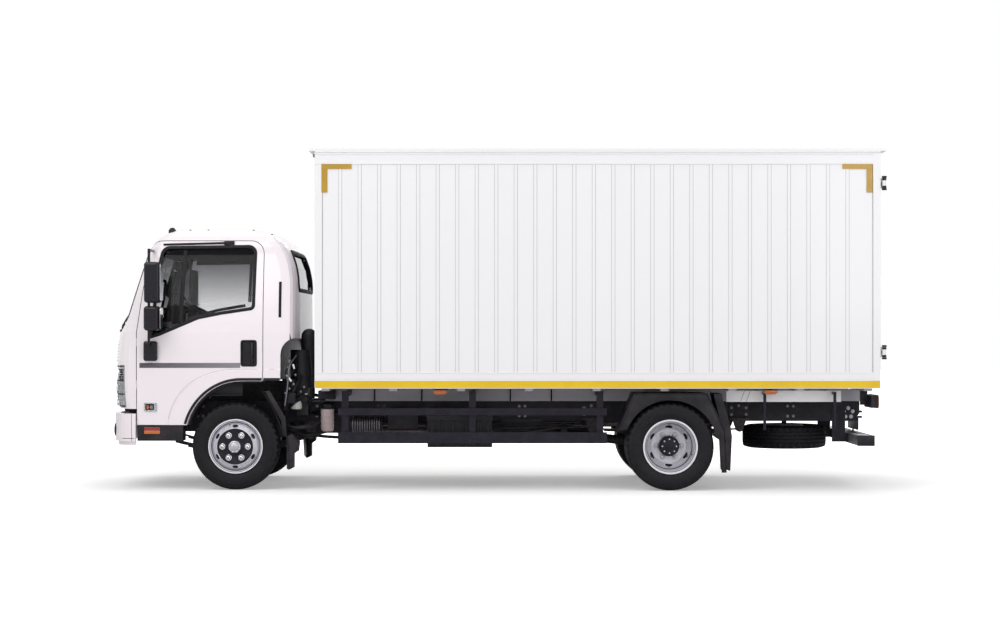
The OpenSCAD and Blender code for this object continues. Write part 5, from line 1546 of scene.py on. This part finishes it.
def rear_doors():
    """Lock rods with cams, keepers and handles, seals, and the pressed lines of the leaves."""
    back = BOX_X[0]
    low, high = BOX_Z[0] + 60, BOX_Z[1] - 120
    inner, outer = 6, 1028
    for side, s in SIDES.items():
        rods = Piece(f"door_lock_rods_{side}", f"rear_door_{side}", GALVANISED, FRAME_BLACK,
                     slot="galvanised")
        # Everything stays within 33 mm of the leaf, so that the doors fold flat against the sides
        rod_x = back - 16
        for y in ROD_Y:
            rods.put(tube([(rod_x, s * y, low + 10), (rod_x, s * y, high - 10)], 12, 16))
            for z in (low + 45, (low + high) / 2 - 330, (low + high) / 2 + 330, high - 45):
                rods.put(block((rod_x - 15, s * y - 34, z - 22), (back + 0.5, s * y + 34, z + 22)))
            for z in (low + 16, high - 34):
                rods.put(block((rod_x - 8, s * y - 30, z - 9), (back - 1, s * y + 30, z + 9)))
            # Flat handle, held level by a catch
            z = low + 420 + (60 if y > 400 else 0)
            rods.put(block((back - 31, s * y, z - 13), (back - 23, s * (y + 240), z + 13)))
            rods.put(block((back - 32, s * y - 20, z - 24), (rod_x + 6, s * y + 20, z + 24)))
            catch = s * (y + 205)
            rods.put(block((back - 33, catch - 22, z - 26), (back + 0.5, catch + 22, z - 14)), 1)
            rods.put(block((back - 33, catch - 12, z - 20), (back - 31.5, catch + 12, z + 22)), 1)
        rods.build(bevel=2)

        leaf = Piece(f"door_leaf_trim_{side}", f"rear_door_{side}", BOX_WHITE, SEAL, slot="box_paint")
        for k in range(5):
            y = 95 + 185 * k
            if min(abs(y - rod) for rod in ROD_Y) < 40:
                y += 55
            leaf.put(block((back - 5, s * y - 24, low + 110), (back + 1, s * y + 24, high - 110)))
        edges = [(inner, low + 4), (outer, low + 4), (outer, high - 4), (inner, high - 4)]
        for k, (ya, za) in enumerate(edges):
            yb, zb = edges[(k + 1) % 4]
            ys, zs = sorted((s * ya, s * yb)), sorted((za, zb))
            leaf.put(block((back - 3, ys[0] - 7, zs[0] - 7), (back + 1, ys[1] + 7, zs[1] + 7)), 1)
        leaf.build(bevel=1.5)

    for side, s in SIDES.items():
        places = [(at(back - 28, s * y, z), Vector((-1, 0, 0))) for z in HINGE_Z for y in (900, 950, 1000)]
        fasteners(f"door_hinge_bolts_{side}", f"rear_door_{side}", places, 8, 7, GALVANISED)


def rear_end():
    """Lamp clusters with round reflectors, and the tapes, ends and plate of the underrun bar."""
    x, _, low = box_of("rear_lamps")[0]
    high = RAIL_Z[0] + 250
    lamps = Piece("rear_lamp_clusters", "chassis", BLACK_PLASTIC, RED_LENS, AMBER_LENS, CLEAR_LENS,
                  CHROME, slot="lamp_red")
    for k, kind in enumerate((2, 1, 3)):
        edge = BOX_Y - 66 - 116 * k
        lamps.both(front_prism(round_rect(edge - 108, low + 8, edge, high - 8, 10), x - 9, x + 1), kind)
    lamps.both(front_prism(round_rect(BOX_Y - 426, low - 3, BOX_Y - 54, high + 3, 12), x - 3, x + 20))
    lamps.both(lathe([(CORE, 0), (34, 0), (34, 4), (CORE, 5)],
                     at(x - 4, BOX_Y - 480, (low + high) / 2), "x", 28, -1), 1)
    lamps.build(bevel=1.5)

    x, _, z = box_of("underrun_bar")[0]
    tail = Piece("underrun_fittings", "chassis", YELLOW_TAPE, BLACK_PLASTIC, WHITE_PLATE, RED_LENS)
    for k in range(6):
        y = -870 + 310 * k
        tail.put(block((x - 1.2, y, z + 18), (x + 0.5, y + 190, z + 72)), k % 2 * 3)
    tail.both(block((x - 4, 930, z - 2), (x + 146, 951, z + 92)), 1)
    tail.put(block((x + 24, -265, z + 108), (x + 34, 265, z + 226)), 1)
    tail.put(block((x + 21, -258, z + 114), (x + 25, 258, z + 220)), 2)
    tail.put(block((x + 26, -30, z + 84), (x + 32, 30, z + 112)), 1)
    tail.build(bevel=1.5)


box_rails()
side_markers()
rear_doors()
rear_end()


# ---------- chassis ----------

# Crossmembers and hangers bolted to the webs, and the rear springs' hanger plates
WEB_BOLTS_X = (900, 380, -80, -700, -1250, -1252, -2525, -3175, -4475, -4948)
HANGER_PLATES_X = (-3150, -4480)
END_PLATE_X = -5470


def frame_bolts():
    """Bolts in the webs, at the crossmembers, hangers and the end plate."""
    places = []
    for s in (-1, 1):
        out = Vector((0, s, 0))
        y = s * RAIL_Y
        for x in WEB_BOLTS_X:
            for dx in (-26, 26):
                for z in (RAIL_Z[0] + 45, RAIL_Z[1] - 45):
                    places.append((at(x + dx, y, z), out))
        for x in HANGER_PLATES_X:
            for dx, dz in ((-66, 60), (66, 60), (-66, 120), (66, 120), (0, 140)):
                places.append((at(x + dx, s * (RAIL_Y + 12), RAIL_Z[0] + dz), out))
        fasteners("frame_bolts", "chassis", places, 9, 8, DULL_ZINC)
    # End plate behind the last crossmember
    places = []
    for s in (-1, 1):
        for k in range(5):
            a = math.radians(90 + 72 * k)
            spot = at(END_PLATE_X + 42 * math.cos(a), s * RAIL_Y, RAIL_Z[0] + 75 + 42 * math.sin(a))
            places.append((spot, Vector((0, s, 0))))
    fasteners("end_plate_bolts", "chassis", places, 12, 9, GALVANISED)


def hoses(piece, rows):
    """Hoses given by their radius, their finish and a few points."""
    for radius, kind, *points in rows:
        piece.put(tube(smooth_path(points), radius, 14), kind)


def underbody():
    """Canisters, pipes, air tanks and clamps that show beside and under the frame."""
    y = RAIL_Y
    parts = Piece("underbody_fittings", "chassis", BLACK_PLASTIC, FILTER_WHITE, DULL_ZINC, FRAME_BLACK,
                  slot="black_plastic")
    # White filter canister with its black head
    centre = at(-781, y + 165, 500)
    can = [(CORE, 0), (44, 0), (56, 14), (58, 30), (58, 196), (50, 204), (CORE, 204)]
    head = [(CORE, 202), (62, 202), (62, 240), (40, 262), (CORE, 262)]
    parts.put(lathe(can, centre, "z", 40), 1)
    parts.put(lathe(head, centre, "z", 40))
    for k in range(4):
        ring = [(57, 40), (60.5, 42), (60.5, 50), (57, 52)]
        parts.put(lathe([(r, t + 42 * k) for r, t in ring], centre, "z", 40), 1)
    parts.put(block((-800, y + 0.5, 690), (-762, y + 130, 720)), 3)
    # Finned compressor block and air dryer beside the rail
    for k in range(12):
        x = -1010 - 21.5 * k
        parts.put(lathe([(CORE, -5), (78, -5), (78, 5), (CORE, 5)], at(x, y + 150, 560), "x", 36), 2)
    parts.put(lathe([(CORE, 0), (62, 0), (62, 290), (CORE, 290)], at(-1275, y + 150, 560), "x", 36), 3)
    parts.put(block((-1180, y + 0.5, 590), (-1090, y + 90, 640)), 3)
    # Round air tank beside the right-hand rail, with straps
    tank_x = -1150
    tank = at(tank_x, -y - 190, RAIL_Z[0] - 20)
    parts.put(lathe([(CORE, -300), (90, -296), (128, -272), (140, -240), (140, 240), (128, 272),
                     (90, 296), (CORE, 300)], tank, "x", 44), 3)
    for dx in (-170, 170):
        strap = [(140, dx - 22), (144, dx - 22), (144, dx + 22), (140, dx + 22)]
        parts.put(lathe(strap, tank, "x", 44), 2)
        parts.put(block((tank_x + dx - 22, -y - 130, RAIL_Z[0] + 60),
                        (tank_x + dx + 22, -y - 0.5, RAIL_Z[0] + 120)), 3)
    # Shock absorbers ahead of the front axle
    parts.both(tube([(150, y + 22, RAIL_Z[1] - 30), (128, y + 30, RAIL_Z[0] - 60)], 34, 20))
    parts.both(tube([(128, y + 30, RAIL_Z[0] - 50), (118, y + 34, 300)], 26, 20), 3)
    parts.both(block((96, y - 2, 276), (140, y + 60, 306)), 3)
    parts.build(bevel=2)

    pipes = Piece("chassis_pipes", "chassis", SEAL, GALVANISED, BLACK_PLASTIC, slot="black_plastic")
    # Bundle of nylon pipes clipped along the left-hand web
    for k in range(4):
        z = RAIL_Z[0] + 60 + 16 * k
        path = [(-660, y + 8 + 3 * (k % 2), z), (-2400, y + 8, z), (-3020, y + 8, z)]
        pipes.put(tube(path, 5, 8), k % 2 * 2)
    for k in range(14):
        x = -760 - 160 * k
        pipes.put(block((x - 8, y - 0.5, RAIL_Z[0] + 50), (x + 8, y + 17, RAIL_Z[0] + 118)), 2)
    # Hoses between the engine and the pieces behind the cab
    hoses(pipes, (
        (20, 0, (-560, 300, 860), (-600, 420, 1010), (-655, 520, 1120), (-650, 560, 960), (-640, 500, 800)),
        (15, 0, (-540, 250, 900), (-590, 300, 1180), (-640, 420, 1290), (-640, 470, 1120)),
        (12, 0, (-640, 760, 1260), (-660, 790, 1040), (-650, 720, 860), (-620, 640, 740)),
        (22, 0, (-600, 690, 840), (-480, 700, 760), (-420, 560, 700), (-400, 440, 690)),
        (11, 2, (-690, 350, 1000), (-680, 200, 1140), (-680, -150, 1160), (-680, -420, 1010)),
        (16, 0, (-520, 300, 720), (-640, 420, 660), (-760, 470, 640), (-860, 440, 650)),
        (14, 0, (-430, 330, 560), (-600, 440, 470), (-900, 470, 440), (-1300, 470, 450))))
    # Clamps round the thick hoses
    for x, py, z, r in ((-655, 520, 1115, 24), (-600, 690, 838, 26)):
        pipes.put(lathe([(r - 5, -7), (r, -7), (r, 7), (r - 5, 7)], at(x, py, z), "z", 24), 1)
    pipes.build(smooth=50)

    bottle = Piece("washer_bottle", "chassis", WHITE_PLATE, BLACK_PLASTIC)
    bottle.put(lathe([(CORE, 0), (46, 0), (54, 10), (54, 84), (40, 100), (18, 108), (18, 122), (CORE, 122)],
                     at(-500, y + 190, 700), "z", 36))
    bottle.put(lathe([(CORE, 120), (23, 120), (23, 138), (CORE, 140)], at(-500, y + 190, 700), "z", 24), 1)
    bottle.put(block((-530, y + 0.5, 692), (-470, y + 200, 701)), 1)
    bottle.build(smooth=40)


def battery_and_tank():
    (x0, _, z0), (x1, y, _) = box_of("battery_box")
    trim = Piece("battery_box_fittings", "chassis", BLACK_PLASTIC, TANK_BLACK, slot="tank_black")
    top = RAIL_Z[0] + 60
    trim.put(block((x0 - 6, y - 342, top - 40), (x1 + 6, y + 6, top + 5)))
    for k in range(9):
        x = x0 + 40 + (x1 - x0 - 80) * k / 8
        trim.put(block((x - 6, y - 1, z0 + 20), (x + 6, y + 5, top - 50)))
    for x in (x0 + 130, x1 - 130):
        trim.put(block((x - 14, y, z0 + 10), (x + 14, y + 8, top - 30)), 1)
        trim.put(tube([(x, y + 8, z0 + 90), (x, y + 14, z0 + 130), (x, y + 8, z0 + 170)], 6, 10), 1)
    trim.build(bevel=2)

    (x0, y, z0), (x1, _, z1) = box_of("fuel_tank")
    tank = Piece("fuel_tank_fittings", "chassis", GALVANISED, BLACK_PLASTIC, CHROME, slot="tank_black")
    for x in (x0 + 180, x1 - 180):
        tank.put(block((x - 22, y - 3, z0 + 36), (x + 22, y + 1, z1 - 36)))
        tank.put(block((x - 22, y + 30, z1 - 1), (x + 22, y + 400, z1 + 3)))
        tank.put(block((x - 22, y + 30, z0 - 3), (x + 22, y + 400, z0 + 1)))
    cap = at(x1 - 110, y, z1 - 70)
    tank.put(lathe([(CORE, 0), (48, 0), (48, 12), (42, 30), (CORE, 32)], cap, "y", 36, -1), 1)
    tank.put(lathe([(48, 0), (56, 0), (56, 8), (48, 8)], cap, "y", 36, -1), 2)
    tank.build(bevel=2)


def spring_fittings():
    """Nuts on the axle clamps, and the brake chambers with their brackets."""
    places = []
    up = Vector((0, 0, 1))
    for s in (-1, 1):
        for x, half, y, z in ((0, 45, RAIL_Y - 32.5, 366), (REAR_X, 50, RAIL_Y + 45, 548)):
            places += [(at(x + dx, s * (y + dy), z), up) for dx in (-half, half) for dy in (-38, 38)]
    fasteners("spring_clamp_nuts", "chassis", places, 13, 14, GALVANISED)

    brakes = Piece("spring_clips_and_brakes", "chassis", AXLE_IRON, GALVANISED, slot="axle_iron")
    chamber = [(CORE, 0), (60, 0), (78, 12), (78, 62), (84, 66), (84, 74), (78, 78), (60, 132), (CORE, 132)]
    brakes.both(lathe(chamber, at(REAR_X - 190, 250, 470), "y", 36, -1))
    brakes.both(block((REAR_X - 190, 244, 392), (REAR_X - 30, 262, 480)))
    brakes.build(bevel=2)


def guard_bolts():
    places = []
    y = box_of("side_guards")[1][1]
    front, rear = BOX_X[1] - 257, REAR_X + 614
    for s in (-1, 1):
        for x in (front, (front + rear) / 2, rear):
            for z in (RAIL_Z[0] - 123, RAIL_Z[0] + 105):
                for dx in (-14, 14):
                    places.append((at(x + dx, s * y, z), Vector((0, s, 0))))
    fasteners("side_guard_bolts", "chassis", places, 7, 6, TANK_BLACK)


def wing_sides():
    """Black cheeks of the rear mudguards, flaps behind the wheels, and panels beside the bearers, with posts
    that carry a painted highlight.
    """
    (_, _, z0), (_, y1, z1) = box_of("mudguards")
    rear, axle, r = REAR_X, REAR_AXLE[2] * 1000, TYRE_R * 1000
    wings = Piece("mudguard_sides", "chassis", BLACK_PLASTIC, FLAP, slot="black_plastic")
    outer = [(rear - r - 105, z0), (rear - r - 85, axle + 150), (rear - r + 65, z1 - 21),
             (rear + r - 62, z1 - 21), (rear + r + 75, axle + 140)]
    inner = arc(rear, axle, r + 26, 22, 168, 24)
    front = [(rear - r - 40, axle + 60), (rear - r - 62, z0)]
    wings.both(side_prism((outer + inner + front)[::-1], y1 - 4, y1))
    # Rib along the upper edge
    wings.both(tube([(rear - r - 85, y1 + 2, axle + 150), (rear - r + 65, y1 + 2, z1 - 24),
                     (rear + r - 62, y1 + 2, z1 - 24), (rear + r + 75, y1 + 2, axle + 140)], 7, 10))
    flap = [(-452, 470), (-452, 190), (-470, 178), (-508, 196), (-510, 316), (-548, 342), (-558, 420),
            (-500, 492)]
    wings.both(side_prism(flap, 800, 950), 1)
    tail = [(-4190, 850), (-4258, 850), (-4340, 560), (-4352, 475), (-4336, 176), (-4284, 190),
            (-4294, 440), (-4262, 560)]
    wings.both(side_prism(tail, 700, y1 - 6), 1)
    liner = [(-262, 868), (-300, 876), (-440, 640), (-452, 480), (-420, 480), (-404, 610)]
    wings.both(side_prism(liner, 925, 955))
    wings.build(bevel=2)

    panels = Piece("bearer_panels", "chassis", BOX_WHITE, SEAL, BEARER_GREY)
    panels.both(block((-5330, 880, RAIL_Z[1] + 8), (-4320, 884, RAIL_Z[1] + 106)))
    for x in (-4480, -4530):
        panels.both(tube([(x, 885, RAIL_Z[1] + 104), (x + 34, 885, RAIL_Z[1] + 10)], 2.5, 6), 2)
    y = RAIL_Y + 3
    # Dark posts, each with a thin white strip beside it as a painted highlight on its edge
    for x in (-1195, -1620, -2420, -2790):
        panels.both(block((x - 7, y, RAIL_Z[1] + 2), (x + 7, y + 22, RAIL_Z[1] + 106)), 1)
        panels.both(block((x - 11, y, RAIL_Z[1] + 2), (x - 7.5, y + 3, RAIL_Z[1] + 106)))
    panels.build()


def behind_the_cab():
    """Boxes, pipes and small bright fittings in the gap between the cab and the box."""
    gap = Piece("gap_fittings", "chassis", BLACK_PLASTIC, DULL_ZINC, WHITE_PLATE, FRAME_BLACK,
                slot="black_plastic")
    gap.put(block((-705, 470, 790), (-850, 690, 866)), 3)
    gap.put(block((-545, 560, 905), (-655, 700, 1010)))
    gap.put(block((-548, 600, 1060), (-600, 740, 1130)))
    gap.put(block((-440, 640, 760), (-520, 880, 850)), 3)
    gap.put(lathe([(CORE, 0), (34, 0), (38, 6), (38, 96), (30, 110), (CORE, 110)],
                  at(-482, 780, 860), "z", 28))
    gap.put(lathe([(CORE, 0), (26, 0), (26, 70), (14, 84), (CORE, 84)], at(-455, 860, 980), "z", 24), 1)
    gap.put(tube([(-445, 905, 1010), (-490, 915, 955)], 9, 12), 2)
    gap.put(tube([(-512, 880, 1065), (-500, 880, 1105)], 9, 12), 2)
    unions = ((-470, 900, 1130), (-455, 890, 1075), (-520, 860, 1010), (-505, 880, 930),
              (-470, 900, 890), (-440, 905, 850), (-560, 790, 860), (-590, 780, 900))
    for k, place in enumerate(unions):
        gap.put(lathe([(CORE, -6), (11, -6), (11, 6), (CORE, 8)], at(*place), "y", 6 + k % 2 * 6), 1)
    gap.build(bevel=2)

    gap = Piece("gap_hoses", "chassis", SEAL, BLACK_PLASTIC, DULL_ZINC, slot="black_plastic")
    hoses(gap, (
        (17, 0, (-420, 820, 700), (-440, 860, 850), (-470, 850, 1000), (-540, 700, 1120), (-600, 560, 1150)),
        (13, 0, (-410, 700, 640), (-450, 840, 760), (-520, 860, 900), (-560, 760, 1000)),
        (8, 2, (-430, 900, 740), (-455, 915, 900), (-470, 905, 1080), (-520, 800, 1180)),
        (15, 0, (-480, 500, 700), (-560, 640, 780), (-640, 700, 830), (-700, 600, 820)),
        (18, 1, (-420, 760, 560), (-520, 780, 540), (-640, 720, 560), (-720, 560, 600)),
        (12, 0, (-410, 600, 520), (-560, 640, 470), (-700, 600, 480), (-860, 520, 520))))
    gap.build(smooth=50)


def under_shade_trays():
    """Dark trays and pipes that close the view below the frame: the trays are painted shade for the shaded
    underside.
    """
    shade_trays = Piece("underbody_shade_trays", "chassis", FRAME_BLACK, BLACK_PLASTIC, DULL_ZINC, slot="chassis_black")
    y = RAIL_Y
    shade_trays.put(block((-3140, 250, RAIL_Z[0] - 44), (-1000, 262, RAIL_Z[0] + 4)))
    shade_trays.put(block((-1590, y + 20, RAIL_Z[0] - 60), (-1320, y + 150, RAIL_Z[0] + 110)), 1)
    shade_trays.put(block((-2700, y + 10, RAIL_Z[0] - 70), (-2330, y + 22, RAIL_Z[0] + 20)), 1)
    for x in (-2375, -2620, -2905):
        shade_trays.put(block((x - 28, y - 60, RAIL_Z[0] - 120), (x + 28, y - 30, RAIL_Z[0] - 1)))
    for k in range(3):
        z = RAIL_Z[0] - 14 - 22 * k
        shade_trays.put(tube([(-1000, y + 34, z), (-1660, y + 34, z - 6)], 7, 10), k % 2 + 1)
        shade_trays.put(tube([(-2270, y + 40, z), (-3060, y + 30, z + 6)], 6, 10), 1)
    hose = [(-2270, y + 60, 470), (-2500, y + 50, 480), (-2800, y + 20, 520), (-3000, y, 560)]
    shade_trays.put(tube(smooth_path(hose), 12, 12), 1)
    shade_trays.build(bevel=2)


wing_sides()
behind_the_cab()
under_shade_trays()
frame_bolts()
underbody()
battery_and_tank()
spring_fittings()
guard_bolts()
